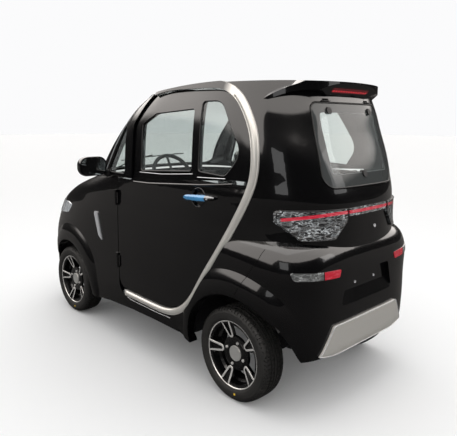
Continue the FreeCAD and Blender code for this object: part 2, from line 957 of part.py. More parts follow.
def hoop(outer_inset, inner_inset, lift):
    """Both sides' loop under the ribbon's outline: lower body below the split, cabin above it."""
    block = side_sweep(ribbon_wire(ribbon_width / 2.0), area_inner_x, half_width * 2.0)
    far = half_length * 2.0
    low = block.common(box(0, far, -far, far, 0, hoop_split_z))
    high = block.common(box(0, far, -far, far, hoop_split_z, body_height * 2.0))
    low = layer(hull, outer_inset, inner_inset, low)
    high = layer(cabin, outer_inset, inner_inset, high).common(under_roof(lift))
    return both_sides(largest(joined([low, high])))


def make_ribbons():
    """Bright side ribbon from the sill round behind the door to the windscreen header."""
    save("side_ribbons", hoop(-ribbon_proud, ribbon_depth, ribbon_proud))


def make_door_hoops():
    """Door surround under the ribbon, which carries it and joins roof, sill and rear body."""
    save("door_hoops", hoop(ribbon_depth, wall, 0.0))


def cabin_glass(outline, y_low, y_high, inset):
    """Pane that follows the cabin's curve, bounded by an outline seen from the front."""
    return layer(cabin, inset, inset + glass_thickness, front_block(outline, y_low, y_high))


def windscreen_outline(grow):
    return [
        (-screen_bottom_half - grow, screen_bottom_z - grow, screen_corner),
        (screen_bottom_half + grow, screen_bottom_z - grow, screen_corner),
        (screen_top_half + grow, screen_top_z + grow, screen_corner),
        (-screen_top_half - grow, screen_top_z + grow, screen_corner),
    ]


def hatch_outline(grow):
    return [
        (-hatch_bottom_half - grow, hatch_bottom_z - grow, hatch_low_corner + grow),
        (hatch_bottom_half + grow, hatch_bottom_z - grow, hatch_low_corner + grow),
        (hatch_top_half + grow, hatch_top_z + grow, hatch_corner + grow),
        (-hatch_top_half - grow, hatch_top_z + grow, hatch_corner + grow),
    ]


def triangle_outline(grow):
    return [
        (quarter_front_y - grow * quarter_point_share, quarter_bottom_z - grow, window_corner),
        (quarter_rear_y + grow, quarter_bottom_z - grow, window_corner),
        (quarter_top_y + grow, quarter_top_z + grow, window_corner),
        (quarter_top_y - window_corner * 2.0, quarter_top_z + grow, window_corner / 2.0),
    ]


def make_roof(forms):
    panel = forms["cabin_shell"].common(box(
        -half_width, half_width, -half_length, half_length, roof_split_z, body_height + overrun))
    panel = panel.cut(forms["area_outer"]).cut(forms["screen_block"])
    save("roof_panel", panel)


def make_front_pillars(forms):
    panel = forms["cabin_shell"].common(forms["above_belt"]).common(box(
        -half_width * 2.0, half_width * 2.0, -half_length, pillar_rear_y, 0, roof_split_z))
    panel = panel.cut(forms["area_outer"]).cut(forms["screen_block"])
    triangle = side_zone(triangle_outline(0.0))
    panel = panel.cut(triangle)
    save("front_pillars", panel)
    pane = layer(cabin, glass_inset, glass_inset + glass_thickness,
                 side_zone(triangle_outline(-glass_gap)))
    save("pillar_glasses", pane.cut(forms["area_outer"]))


def make_windscreen(forms):
    pane = cabin_glass(windscreen_outline(-glass_gap), -half_length, pillar_rear_y, glass_inset)
    save("windscreen", pane.common(under_roof(-glass_inset)))


def make_rear_body(forms):
    """Upper rear moulding round the hatch, down to the shoulder."""
    panel = forms["cabin_shell"].common(box(
        -half_width * 2.0, half_width * 2.0, rear_body_front_y, half_length * 2.0, 0, roof_split_z))
    panel = panel.cut(forms["area_outer"])
    rebate_depth = glass_thickness + hatch_edge_gap
    rebate = front_block(hatch_outline(hatch_edge_gap), rear_axle_y, half_length * 2.0)
    rebate = rebate.cut(inset_form(cabin, rebate_depth))
    opening = front_block(hatch_outline(-hatch_overlap), rear_axle_y, half_length * 2.0)
    panel = panel.cut(rebate).cut(opening).cut(forms["tail_lamps"]).cut(forms["light_bar"])
    panel = panel.cut(hinge_leaf_notches(forms))
    save("rear_body", panel)


def hatch_surface_y(z):
    """Where the cabin's rear face lies at a height on the middle line."""
    rows = [(body_height * row[0], half_length * row[3]) for row in cabin_shares]
    for low, high in zip(rows, rows[1:]):
        if low[0] <= z <= high[0]:
            return low[1] + (high[1] - low[1]) * (z - low[0]) / (high[0] - low[0])
    return rows[-1][1]


def hatch_axis():
    z = hatch_top_z + hatch_hinge_rise
    return V(0, hatch_surface_y(z) - hatch_hinge_radius, z)


def hinge_leaf_notches(forms):
    axis = hatch_axis()
    notches = []
    for side in (-1.0, 1.0):
        x = side * hatch_hinge_half_spacing
        half = hatch_leaf_width / 2.0 + hatch_edge_gap
        bore_half = half + hatch_pin_reach
        notches.append(rod(V(x - bore_half, axis.y, axis.z), V(x + bore_half, axis.y, axis.z),
                           hatch_pin_radius + running_gap))
        notches.append(box(x - half, x + half, axis.y - hatch_hinge_radius * 2.0 - hatch_edge_gap,
                           half_length, hatch_top_z - hatch_notch_drop,
                           axis.z + hatch_hinge_radius + hatch_edge_gap))
    return Part.makeCompound(notches)


def make_hatch(forms):
    pane = cabin_glass(hatch_outline(0.0), rear_axle_y, half_length * 2.0, 0.0)
    knobs = []
    for x, z in ((-hatch_hinge_half_spacing, hatch_hinge_z), (hatch_hinge_half_spacing, hatch_hinge_z),
                 (0.0, hatch_latch_z)):
        stem = rod(V(x, rear_axle_y, z), V(x, half_length, z), hatch_knob_radius)
        knobs.append(layer(cabin, -hatch_knob_proud, glass_thickness + hatch_knob_proud, stem))
        pane = pane.cut(rod(V(x, rear_axle_y, z), V(x, half_length, z), hatch_knob_radius))
    save("hatch_glass", pane)
    axis = hatch_axis()
    for side in (-1.0, 1.0):
        x = side * hatch_hinge_half_spacing
        half = hatch_leaf_width / 2.0
        leaf = front_block([
            (x - half, hatch_hinge_z - hatch_knob_radius, half / 2.0),
            (x + half, hatch_hinge_z - hatch_knob_radius, half / 2.0),
            (x + half, axis.z, 0), (x - half, axis.z, 0)], rear_axle_y, half_length * 2.0)
        leaf = layer(cabin, glass_thickness + seat_gap, glass_thickness + hatch_leaf_thickness, leaf)
        barrel = rod(V(x - half, axis.y, axis.z), V(x + half, axis.y, axis.z), hatch_hinge_radius)
        pin = rod(V(x - half - hatch_pin_reach, axis.y, axis.z), V(x + half + hatch_pin_reach, axis.y, axis.z),
                  hatch_pin_radius)
        knobs.extend([leaf, barrel, pin])
    save("hatch_fittings", joined(knobs))


def make_tail_lamps(forms):
    save("tail_lamps", forms["tail_lamps"])
    save("light_bar", forms["light_bar"])


def tail_lamp_solids():
    outline = [
        (tail_lamp_inner_x, tail_lamp_top_z, 0),
        (tail_lamp_inner_x, tail_lamp_step_z, tail_lamp_corner),
        (tail_lamp_lobe_inner_x, tail_lamp_low_z, tail_lamp_corner),
        (tail_lamp_lobe_outer_x, tail_lamp_low_z, tail_lamp_corner),
        (tail_lamp_outer_x, tail_lamp_step_z, tail_lamp_corner),
        (tail_lamp_outer_x, tail_lamp_top_z, tail_lamp_corner),
    ]
    block = front_block(outline, rear_axle_y, half_length * 2.0)
    return both_sides(layer(cabin, -tail_lamp_proud, tail_lamp_depth, block))


def light_bar_solid():
    """Thin light strip across the middle, between the two tail lamps."""
    x = tail_lamp_inner_x - light_bar_gap
    block = front_block([
        (-x, light_bar_low_z, 0), (x, light_bar_low_z, 0),
        (x, tail_lamp_top_z, 0), (-x, tail_lamp_top_z, 0)], rear_axle_y, half_length * 2.0)
    return layer(cabin, -tail_lamp_proud, tail_lamp_depth, block)


def make_rear_bumper(forms):
    """Lower rear moulding: rear wings, shoulder shelf and bumper."""
    panel = forms["tail_shell"].common(side_zone([
        (sill_rear_y, 0, 0),
        (rear_axle_y, 0, 0),
        (rear_axle_y, rear_bottom_z, 0),
        (half_length * 2.0, rear_bottom_z, 0),
        (half_length * 2.0, shelf_top, 0),
        (sill_rear_y, shelf_top, 0),
    ]))
    panel = panel.cut(forms["area_outer"]).cut(forms["cabin"])
    panel = panel.fuse(forms["rear_flares"]).cut(forms["rear_arches"])
    panel = panel.cut(forms["area_outer"]).cut(forms["reflectors"]).cut(forms["below_sill"])
    recess = front_block([
        (-plate_bottom_half, plate_bottom_z, plate_corner),
        (plate_bottom_half, plate_bottom_z, plate_corner),
        (plate_top_half, plate_top_z, plate_corner),
        (-plate_top_half, plate_top_z, plate_corner),
    ], half_length - plate_recess_depth - overrun, half_length + overrun)
    ramp = side_zone([
        (half_length + overrun, plate_bottom_z, 0),
        (half_length, plate_bottom_z, 0),
        (half_length - plate_recess_depth, plate_ramp_z, 0),
        (half_length - plate_recess_depth, plate_top_z, 0),
        (half_length + overrun, plate_top_z, 0),
    ])
    panel = panel.cut(recess.common(ramp))
    panel = panel.cut(plate_holes(rear_axle_y, half_length * 2.0, rear_plate_z))
    save("rear_bumper", panel.cut(forms["valance"]))


def reflector_solids():
    outline = [
        (reflector_inner_x, reflector_low_z, reflector_corner),
        (reflector_outer_x, reflector_low_z + reflector_rise, reflector_corner),
        (reflector_outer_x + reflector_rise, reflector_high_z + reflector_rise, reflector_corner),
        (reflector_inner_x - reflector_rise, reflector_high_z, reflector_corner),
    ]
    block = front_block(outline, rear_axle_y + tyre_radius / 2.0, half_length * 2.0)
    return both_sides(layer(tail, -reflector_proud, reflector_depth, block))


def valance_solid():
    outline = [
        (-valance_bottom_half, valance_edge_z, 0),
        (-valance_bottom_half * valance_foot_share, valance_bottom_z, valance_corner),
        (valance_bottom_half * valance_foot_share, valance_bottom_z, valance_corner),
        (valance_bottom_half, valance_edge_z, 0),
        (valance_top_half, valance_top_z, valance_corner),
        (-valance_top_half, valance_top_z, valance_corner),
    ]
    block = front_block(outline, rear_axle_y, half_length * 2.0)
    return layer(tail, -valance_proud, valance_depth, block)


def spoiler_edge(shares):
    """Points of one spoiler edge as seen from behind, from the middle outwards."""
    return [V(half_width * x, 0, body_height * z) for x, z in shares]


def spoiler_front_view():
    """Crescent outline of the spoiler with the deeper lamp housing in its middle."""
    top = spoiler_edge(spoiler_top_shares)
    low = spoiler_edge(spoiler_low_shares)
    housing = spoiler_edge(spoiler_housing_shares)
    other = [V(-point.x, 0, point.z) for point in top]
    upper = Part.BSplineCurve()
    upper.interpolate(list(reversed(other)) + top[1:])
    edges = [upper.toShape()]
    for side in (1.0, -1.0):
        place = [V(side * point.x, 0, point.z) for point in low]
        step = [V(side * point.x, 0, point.z) for point in housing]
        lower = Part.BSplineCurve()
        lower.interpolate(place)
        edges.append(lower.toShape())
        edges.append(Part.LineSegment(V(side * top[-1].x, 0, top[-1].z), place[-1]).toShape())
        edges.append(Part.LineSegment(place[0], step[0]).toShape())
        edges.append(Part.LineSegment(step[0], step[1]).toShape())
    edges.append(Part.LineSegment(V(housing[1].x, 0, housing[1].z), V(-housing[1].x, 0, housing[1].z)).toShape())
    wire = Part.Wire(Part.__sortEdges__(edges))
    wire.translate(V(0, spoiler_front_y, 0))
    return prism(wire, V(0, half_length, 0))


def make_spoiler(forms):
    """Lip that grows out of the roof's rear edge, undercut behind, with the high brake lamp in it."""
    plan = prism(ring(spoiler_plan_shares, 0.0, 0.0, -90.0), V(0, 0, body_height))
    undercut = side_zone([
        (spoiler_lip_y, spoiler_lip_z, 0),
        (spoiler_foot_y, spoiler_foot_z, 0),
        (half_length + overrun, spoiler_foot_z, 0),
        (half_length + overrun, spoiler_lip_z, 0),
    ])
    lip = plan.common(spoiler_front_view()).common(under_roof(0.0)).cut(undercut)
    lamp = front_block([
        (-brake_lamp_half_width, brake_lamp_low_z, brake_lamp_corner),
        (brake_lamp_half_width, brake_lamp_low_z, brake_lamp_corner),
        (brake_lamp_half_width, brake_lamp_high_z, brake_lamp_corner),
        (-brake_lamp_half_width, brake_lamp_high_z, brake_lamp_corner),
    ], brake_lamp_back_y, half_length)
    lip = largest(lip.cut(forms["cabin"]))
    save("rear_spoiler", lip.cut(lamp))
    save("high_brake_lamp", lamp.common(lip))


# Doors
def window_outline(grow):
    """Main pane of the door."""
    return [
        (main_front_low_y - grow, belt_z(main_front_low_y) + window_sill_rise - grow, window_corner),
        (main_rear_y + grow, belt_z(main_rear_y) + window_sill_rise - grow, window_corner),
        (main_rear_y - window_corner + grow, main_top_z + grow, window_corner),
        (main_front_top_y, main_top_z - window_corner + grow, window_corner * 2.0),
        (main_front_mid_y - grow, main_front_mid_z, window_corner),
    ]


def rear_window_outline(grow):
    """Rounded pane behind the divider."""
    return [
        (light_front_y - grow, belt_z(light_front_y) + window_sill_rise - grow, window_corner),
        (light_low_y, light_low_z - grow, light_corner / 2.0),
        (light_rear_y + grow, light_mid_z, light_corner),
        (light_top_y, light_top_z + grow, light_corner),
        (light_front_y - window_corner - grow, light_top_z + grow, window_corner),
    ]


def side_outline(corners):
    return side_sweep(closed_wire(corners, on_side(0.0)), 0.0, half_width * 2.0)


def make_doors(forms):
    """Each door: lower panel with window frame, two panes and handle."""
    area = side_sweep(door_outline(-ribbon_width / 2.0, door_gap), area_inner_x, half_width * 2.0)
    lower = forms["hull_shell"].common(area.cut(forms["above_belt"]))
    upper = layer(cabin, frame_inset, frame_inset + frame_thickness, area.common(forms["above_belt"]))
    shell = joined([lower, upper])
    shell = shell.cut(side_outline(window_outline(0.0))).cut(side_outline(rear_window_outline(0.0)))
    well = rod(V(0, handle_well_y, handle_z), V(half_width * 2.0, handle_well_y, handle_z),
               handle_well_radius)
    shell = joined([shell.cut(well.cut(inset_form(hull, handle_well_depth)))] + door_hinge_leaves())
    panes = []
    for outline in (window_outline(-glass_gap), rear_window_outline(-glass_gap)):
        panes.append(layer(cabin, frame_inset + glass_inset, frame_inset + glass_inset + glass_thickness,
                           side_outline(outline)))
    handle = door_handle()
    for side in ("left", "right"):
        place = mirrored if side == "right" else (lambda shape: shape)
        save("door_" + side + "_shell", place(shell))
        save("door_" + side + "_glass", place(Part.makeCompound(panes)))
        save("door_" + side + "_handle", place(handle))


def door_hinge_leaves():
    """Hinge barrel and leaf on the door's front edge, one per hinge height."""
    leaves = []
    for z in hinge_heights:
        low = z - hinge_leaf_height / 2.0
        high = z + hinge_leaf_height / 2.0
        barrel = rod(V(hinge_x, hinge_y, low), V(hinge_x, hinge_y, high), hinge_barrel_radius)
        leaf = box(hinge_x - hinge_leaf_reach, hinge_x, hinge_y,
                   door_front_y + door_gap + hinge_leaf_lap, low, high)
        bore = rod(V(hinge_x, hinge_y, low - overrun), V(hinge_x, hinge_y, high + overrun),
                   hinge_pin_radius + running_gap)
        leaves.append(joined([barrel, leaf]).cut(bore))
    return leaves


def door_handle():
    """Pull handle that stands off the door on two feet and bridges the finger well."""
    half = handle_height / 2.0
    bar = side_outline([
        (handle_front_y, handle_z - half, half * handle_corner_share),
        (handle_rear_y, handle_z + handle_rise - half, half * handle_corner_share),
        (handle_rear_y, handle_z + handle_rise + half, half * handle_corner_share),
        (handle_front_y, handle_z + half, half * handle_corner_share)])
    grip = layer(hull, -handle_proud, -handle_proud + handle_thickness, bar)
    feet = []
    for y_low, y_high in ((handle_front_y, handle_front_y + handle_foot),
                          (handle_rear_y - handle_foot, handle_rear_y)):
        block = box(0, half_width * 2.0, y_low, y_high, handle_z - half, handle_z + handle_rise + half)
        feet.append(layer(hull, -handle_proud, 0.0, bar.common(block)))
    return joined([grip] + feet)


# Chassis and running gear
def make_frame():
    """Ladder frame whose rails kick up over the rear axle, with jacking pads and a tow eye."""
    members = []
    top = rail_bottom + rail_height
    for side in (-1.0, 1.0):
        x = side * rail_half_spacing
        members.append(side_block([
            (rail_front_y, rail_bottom, 0), (kick_front_y, rail_bottom, 0),
            (kick_rear_y, rail_bottom + kick_rise, 0), (rail_rear_y, rail_bottom + kick_rise, 0),
            (rail_rear_y, top + kick_rise, 0), (kick_rear_y, top + kick_rise, 0),
            (kick_front_y, top, 0), (rail_front_y, top, 0),
        ], x - rail_width / 2.0, x + rail_width / 2.0))
        members.append(box(x - jack_pad_width / 2.0, x + jack_pad_width / 2.0, jack_pad_y - jack_pad_length / 2.0,
                           jack_pad_y + jack_pad_length / 2.0, rail_bottom - jack_pad_height, rail_bottom))
        for y_share in outrigger_shares:
            y = half_length * y_share
            ends = sorted((x, side * outrigger_reach))
            members.append(box(ends[0], ends[1], y - rail_width / 2.0, y + rail_width / 2.0,
                               rail_bottom, top))
    for y_share in cross_member_shares:
        y = half_length * y_share
        members.append(box(-rail_half_spacing, rail_half_spacing, y - rail_width / 2.0,
                           y + rail_width / 2.0, rail_bottom, top))
    members.append(box(-rail_half_spacing, rail_half_spacing, rail_rear_y - rail_width, rail_rear_y,
                       rail_bottom + kick_rise, top + kick_rise))
    members.append(box(-tow_eye_thickness / 2.0, tow_eye_thickness / 2.0, rail_rear_y - rail_width,
                       rail_rear_y + tow_eye_reach, rail_bottom + kick_rise, top + kick_rise))
    frame = joined(members)
    centre_y = rail_rear_y + tow_eye_reach - tow_eye_radius * 2.0
    centre_z = rail_bottom + kick_rise + rail_height / 2.0
    hole = rod(V(-rail_half_spacing, centre_y, centre_z), V(rail_half_spacing, centre_y, centre_z),
               tow_eye_radius)
    save("chassis_frame", frame.cut(hole))


def make_floor(forms):
    """Floor, bulkhead and rear deck pressed from sheet, with the front wall."""
    inner = inset_form(hull, wall + seat_gap)
    tail_inner = inset_form(tail, wall + seat_gap)
    low = rail_bottom + rail_height
    floor = box(-half_width, half_width, firewall_y, deck_y + floor_thickness, low, low + floor_thickness)
    wall_panel = box(-half_width, half_width, firewall_y, firewall_y + floor_thickness, low, firewall_top)
    bulkhead = box(-half_width, half_width, deck_y, deck_y + floor_thickness, low, deck_top)
    deck = box(-half_width, half_width, deck_y, deck_rear_y, deck_top - floor_thickness, deck_top)
    front = joined([floor, wall_panel, bulkhead]).common(inner)
    rear = deck.common(tail_inner).common(inner)
    save("floor_pan", joined([front, rear]))


def make_battery():
    low = rail_bottom + battery_lift
    half = rail_half_spacing - rail_width / 2.0 - seat_gap
    save("battery_pack", box(-half, half, battery_front_y, battery_rear_y,
                             low, rail_bottom + rail_height - seat_gap))


def make_rear_axle():
    """Beam axle with the drive motor on it and a spindle at each end."""
    z = tyre_radius
    beam_end = wheel_x - axle_inset
    beam = rod(V(-beam_end, rear_axle_y, z), V(beam_end, rear_axle_y, z), axle_tube_radius)
    motor = rod(V(-motor_length / 2.0, rear_axle_y, z), V(motor_length / 2.0, rear_axle_y, z), motor_radius)
    case = rod(V(motor_length / 2.0, rear_axle_y, z),
               V(motor_length / 2.0 + gear_case_length, rear_axle_y, z), gear_case_radius)
    spindle = rod(V(-spindle_end_x, rear_axle_y, z), V(spindle_end_x, rear_axle_y, z), spindle_radius)
    save("rear_axle", joined([beam, motor, case, spindle]))


def make_suspension():
    """Rear spring and damper units, front lower arms and front struts, all fixed."""
    springs = []
    for side in (-1.0, 1.0):
        x = side * rear_spring_x
        foot = V(x, rear_axle_y, tyre_radius + axle_tube_radius)
        springs.append(rod(foot, V(x, rear_axle_y, deck_top - floor_thickness), spring_radius))
    save("rear_springs", Part.makeCompound(springs))
    arms = []
    struts = []
    z_low = tyre_radius - knuckle_half_height
    z_high = tyre_radius + knuckle_half_height
    for side in (-1.0, 1.0):
        x = side * steer_axis_x
        eye_top = z_low - seat_gap
        eye_low = eye_top - arm_radius * 2.0
        eye = rod(V(x, front_axle_y, eye_low), V(x, front_axle_y, eye_top), arm_eye_radius)
        inner_x = side * (rail_half_spacing - rail_width / 2.0)
        legs = []
        for y_side in (-1.0, 1.0):
            inner = V(inner_x, front_axle_y + y_side * arm_spread, rail_bottom - arm_radius)
            legs.append(rod(inner, V(x, front_axle_y, eye_low + arm_radius), arm_radius))
            legs.append(box(min(inner_x, inner_x + side * rail_width),
                            max(inner_x, inner_x + side * rail_width),
                            front_axle_y + y_side * arm_spread - arm_radius,
                            front_axle_y + y_side * arm_spread + arm_radius,
                            rail_bottom - arm_radius * 2.0, rail_bottom))
        bore = rod(V(x, front_axle_y, eye_low - overrun), V(x, front_axle_y, eye_top + overrun),
                   king_pin_radius + running_gap)
        head_room = rod(V(x, front_axle_y, eye_top), V(x, front_axle_y, z_high), knuckle_radius + door_gap)
        arms.append(joined([eye] + legs).cut(bore).cut(head_room))
        struts.append(front_strut(side, x, z_high + seat_gap))
    save("front_arms", Part.makeCompound(arms))
    save("front_struts", Part.makeCompound(struts))


def front_strut(side, x, low):
    """Upper ball joint, strut set inboard of the tyre, and its tower on the frame rail."""
    y = front_axle_y
    strut_x = side * strut_axis_x
    eye = rod(V(x, y, low), V(x, y, low + king_pin_length), arm_eye_radius)
    foot = box(min(x, strut_x), max(x, strut_x), y - strut_radius, y + strut_radius, low, low + king_pin_length)
    strut = rod(V(strut_x, y, low), V(strut_x, y, strut_top), strut_radius)
    collar = rod(V(strut_x, y, strut_top - strut_collar), V(strut_x, y, strut_top), spring_radius)
    bore = rod(V(x, y, low - overrun), V(x, y, low + king_pin_length + overrun), king_pin_radius + running_gap)
    ends = sorted((side * (rail_half_spacing - rail_width / 2.0), strut_x + side * spring_radius))
    tower = box(ends[0], ends[1], y - spring_radius, y + spring_radius, strut_top,
                strut_top + floor_thickness)
    sides = sorted((side * (rail_half_spacing - rail_width / 2.0), side * (rail_half_spacing + rail_width / 2.0)))
    post = box(sides[0], sides[1], y - spring_radius, y + spring_radius, rail_bottom + rail_height + seat_gap,
               strut_top + floor_thickness)
    return joined([joined([eye, foot]).cut(bore), strut.cut(bore), collar, tower, post])


def make_knuckles():
    """Upright with its king pins and the stub axle that carries the wheel."""
    for side, name in ((1.0, "left"), (-1.0, "right")):
        x = side * steer_axis_x
        z_low = tyre_radius - knuckle_half_height
        z_high = tyre_radius + knuckle_half_height
        upright = rod(V(x, front_axle_y, z_low), V(x, front_axle_y, z_high), knuckle_radius)
        pins = rod(V(x, front_axle_y, z_low - king_pin_length), V(x, front_axle_y, z_high + king_pin_length),
                   king_pin_radius)
        spindle = rod(V(x, front_axle_y, tyre_radius), V(side * spindle_end_x, front_axle_y, tyre_radius),
                      spindle_radius)
        shoulder = rod(V(x, front_axle_y, tyre_radius), V(side * (wheel_x - axle_inset), front_axle_y,
                       tyre_radius), axle_tube_radius)
        save("knuckle_" + name, joined([upright, pins, spindle, shoulder]))


def tyre_profile(x):
    """Half-width steps across the tyre's cross-section at a place on the axle."""
    half = tyre_width / 2.0
    tread = tread_width / 2.0
    bead = rim_width / 2.0 - rim_wall
    shoulder = tyre_radius - shoulder_drop
    belly = (tyre_radius + rim_radius) / 2.0
    seat = rim_seat_radius + tyre_bore_gap
    points = [
        (-tread, tyre_radius), (tread, tyre_radius), (half - rim_wall, shoulder), (half, belly),
        (bead, rim_radius), (bead, seat), (-bead, seat), (-bead, rim_radius), (-half, belly),
        (-half + rim_wall, shoulder),
    ]
    return [(x + across, radius) for across, radius in points]


def rim_barrel(middle, axle_y):
    """Barrel with bead seats, flanges and a bevel inside each lip."""
    half = rim_width / 2.0
    seat_end = half - rim_wall
    outer_half = [
        (seat_end, rim_seat_radius), (seat_end, rim_radius), (half, rim_radius), (half, rim_radius - rim_lip),
        (half - lip_bevel_depth, rim_radius - lip_bevel_drop), (seat_end, rim_seat_radius - rim_wall),
    ]
    profile = outer_half + [(-x, radius) for x, radius in reversed(outer_half)]
    return revolved([V(middle + x, axle_y, tyre_radius + radius) for x, radius in profile],
                    V(0, axle_y, tyre_radius), V(1, 0, 0))


def spoke_plan(axle_y, root_radius, root_half, tip_radius, tip_half, corner):
    """Tapered plate along the wheel's upright radius, as wide as the whole car."""
    return side_zone([
        (axle_y - root_half, tyre_radius + root_radius, corner),
        (axle_y + root_half, tyre_radius + root_radius, corner),
        (axle_y + tip_half, tyre_radius + tip_radius, corner),
        (axle_y - tip_half, tyre_radius + tip_radius, corner),
    ])


def rim_face(middle, side, axle_y):
    """Dished face: hub plate and pairs of spokes, each pair open between its two bars."""
    centre = V(0, axle_y, tyre_radius)
    hub_x = rim_width / 2.0 - dish_depth
    tip_x = rim_width / 2.0
    barrel_radius = rim_seat_radius - rim_wall / 2.0
    profile = [(0, hub_x), (hub_face_radius, hub_x), (spoke_tip_radius, tip_x),
               (spoke_tip_radius, tip_x - lip_bevel_depth / 2.0), (barrel_radius, tip_x - rim_wall),
               (barrel_radius, tip_x - spoke_depth),
               (hub_face_radius, hub_x - spoke_depth), (0, hub_x - spoke_depth)]
    dish = revolved([V(middle + side * x, axle_y, tyre_radius + radius) for radius, x in profile],
                    centre, V(1, 0, 0))
    pattern = [rod(V(-half_width, axle_y, tyre_radius), V(half_width, axle_y, tyre_radius), hub_face_radius)]
    slots = []
    for index in range(spoke_pairs):
        turn = 360.0 * index / spoke_pairs + spoke_turn - 90.0
        spoke = spoke_plan(axle_y, 0, spoke_root_half, spoke_tip_radius + overrun, spoke_tip_half + slot_corner, 0)
        slot = spoke_plan(axle_y, slot_root_radius, slot_root_half, slot_tip_radius, slot_tip_half, slot_corner)
        for shape, group in ((spoke, pattern), (slot, slots)):
            shape.rotate(centre, V(1, 0, 0), turn)
            group.append(shape)
    return dish.common(joined(pattern)).cut(Part.makeCompound(slots))


def make_wheel(name, side, axle_y):
    """Tyre and cast rim with paired spokes on a hub that turns on the spindle."""
    centre = V(0, axle_y, tyre_radius)
    middle = side * wheel_x
    tyre = revolved([V(x, axle_y, tyre_radius + r) for x, r in tyre_profile(middle)], centre, V(1, 0, 0))
    save(name + "_tyre", tyre)
    face = middle + side * (rim_width / 2.0 - dish_depth)
    hub = rod(V(middle - side * hub_length / 2.0, axle_y, tyre_radius), V(face, axle_y, tyre_radius), hub_radius)
    cap = rod(V(face, axle_y, tyre_radius), V(face + side * hub_cap_height, axle_y, tyre_radius),
              hub_cap_radius)
    bolts = []
    for index in range(hub_bolt_count):
        angle = math.radians(hub_bolt_turn) + 2.0 * math.pi * index / hub_bolt_count
        y = axle_y + hub_bolt_circle / 2.0 * math.cos(angle)
        z = tyre_radius + hub_bolt_circle / 2.0 * math.sin(angle)
        bolts.append(rod(V(face - side * hub_bolt_height, y, z), V(face + side * hub_bolt_height, y, z),
                         hub_bolt_radius))
    bore = rod(V(middle - side * hub_length, axle_y, tyre_radius),
               V(side * (spindle_end_x + seat_gap), axle_y, tyre_radius), spindle_radius + running_gap)
    rim = joined([rim_barrel(middle, axle_y), rim_face(middle, side, axle_y), hub, cap] + bolts).cut(bore)
    save(name + "_rim", rim)


# Cabin fittings
def make_dashboard():
    corners = [
        (firewall_y + floor_thickness + seat_gap, dash_low_z, 0),
        (dash_rear_y - dash_tuck, dash_low_z, dash_corner),
        (dash_rear_y, dash_mid_z, dash_corner),
        (dash_rear_y, dash_top_z - dash_corner, dash_corner),
        (dash_rear_y - dash_tuck, dash_top_z, dash_corner),
        (dash_front_y, dash_front_z, dash_corner),
        (dash_front_y, firewall_top + seat_gap, 0),
        (firewall_y + floor_thickness + seat_gap, firewall_top + seat_gap, 0),
    ]
    block = side_zone(corners)
    low = block.common(inset_form(hull, wall + seat_gap)).common(box(
        -half_width, half_width, -half_length, half_length, 0, dash_ceiling_z))
    column = rod(ring_centre(), ring_centre().add(column_axis().multiply(-column_length)),
                 column_radius + seat_gap)
    save("dashboard", low.common(inset_form(cabin, wall + seat_gap)).cut(column))


def ring_centre():
    return V(0, wheel_ring_y, wheel_ring_z)


def column_axis():
    """From the dashboard towards the driver."""
    tilt = math.radians(wheel_ring_tilt)
    return V(0, math.cos(tilt), math.sin(tilt))


def make_steering():
    centre = ring_centre()
    axis = column_axis()
    hub_back = centre.add(V(axis).multiply(-hub_back_offset))
    column_top = hub_back.add(V(axis).multiply(-seat_gap))
    column_end = centre.add(V(axis).multiply(-column_length))
    column = rod(column_end, column_top, column_radius)
    bore = rod(column_top.add(V(axis).multiply(-shaft_length - seat_gap)),
               column_top.add(V(axis).multiply(overrun)), shaft_radius + running_gap)
    save("steering_column", column.cut(bore))
    torus = Part.makeTorus(wheel_ring_radius, wheel_ring_tube, centre, axis)
    hub = rod(hub_back, centre.add(V(axis).multiply(hub_front_offset)), hub_pad_radius)
    shaft = rod(hub_back.add(V(axis).multiply(-shaft_length)), hub_back, shaft_radius)
    spokes = []
    for angle in ring_spoke_angles:
        spoke = rod(centre, centre.add(V(wheel_ring_radius, 0, 0)), ring_spoke_radius)
        spoke.rotate(centre, axis, angle)
        spokes.append(spoke)
    save("steering_wheel", joined([torus, hub, shaft] + spokes))


def cushion(x_low, x_high, y_low, y_high, z_low, z_high, radius):
    """Plain upholstered block with rounded upright corners."""
    wire = closed_wire([(x_low, y_low, radius), (x_high, y_low, radius), (x_high, y_high, radius),
                        (x_low, y_high, radius)], on_plan(z_low))
    return prism(wire, V(0, 0, z_high - z_low))


def make_seats():
    half = seat_width / 2.0
    floor_z = rail_bottom + rail_height + floor_thickness
    base = box(-half + seat_corner, half - seat_corner, seat_front_y + seat_corner,
               seat_front_y + seat_depth - seat_corner, floor_z, floor_z + seat_base_height)
    save("driver_seat_base", base)
    z = floor_z + seat_base_height + seat_gap
    save("driver_seat_cushion", cushion(-half, half, seat_front_y, seat_front_y + seat_depth, z,
                                        z + seat_thickness, seat_corner))
    back_z = z + seat_thickness + seat_gap
    save("driver_seat_back", cushion(-half, half, seat_front_y + seat_depth - seat_thickness,
                                     seat_front_y + seat_depth, back_z, back_z + seat_back_height,
                                     seat_corner))
    bench_z = deck_top + seat_gap
    save("rear_bench_cushion", cushion(-bench_half_width, bench_half_width, bench_front_y, bench_rear_y,
                                       bench_z, bench_z + seat_thickness, seat_corner))
    bench_back_z = bench_z + seat_thickness + seat_gap
    save("rear_bench_back", cushion(-bench_half_width, bench_half_width, bench_rear_y - seat_thickness,
                                    bench_rear_y, bench_back_z, bench_back_z + bench_back_height,
                                    seat_corner))


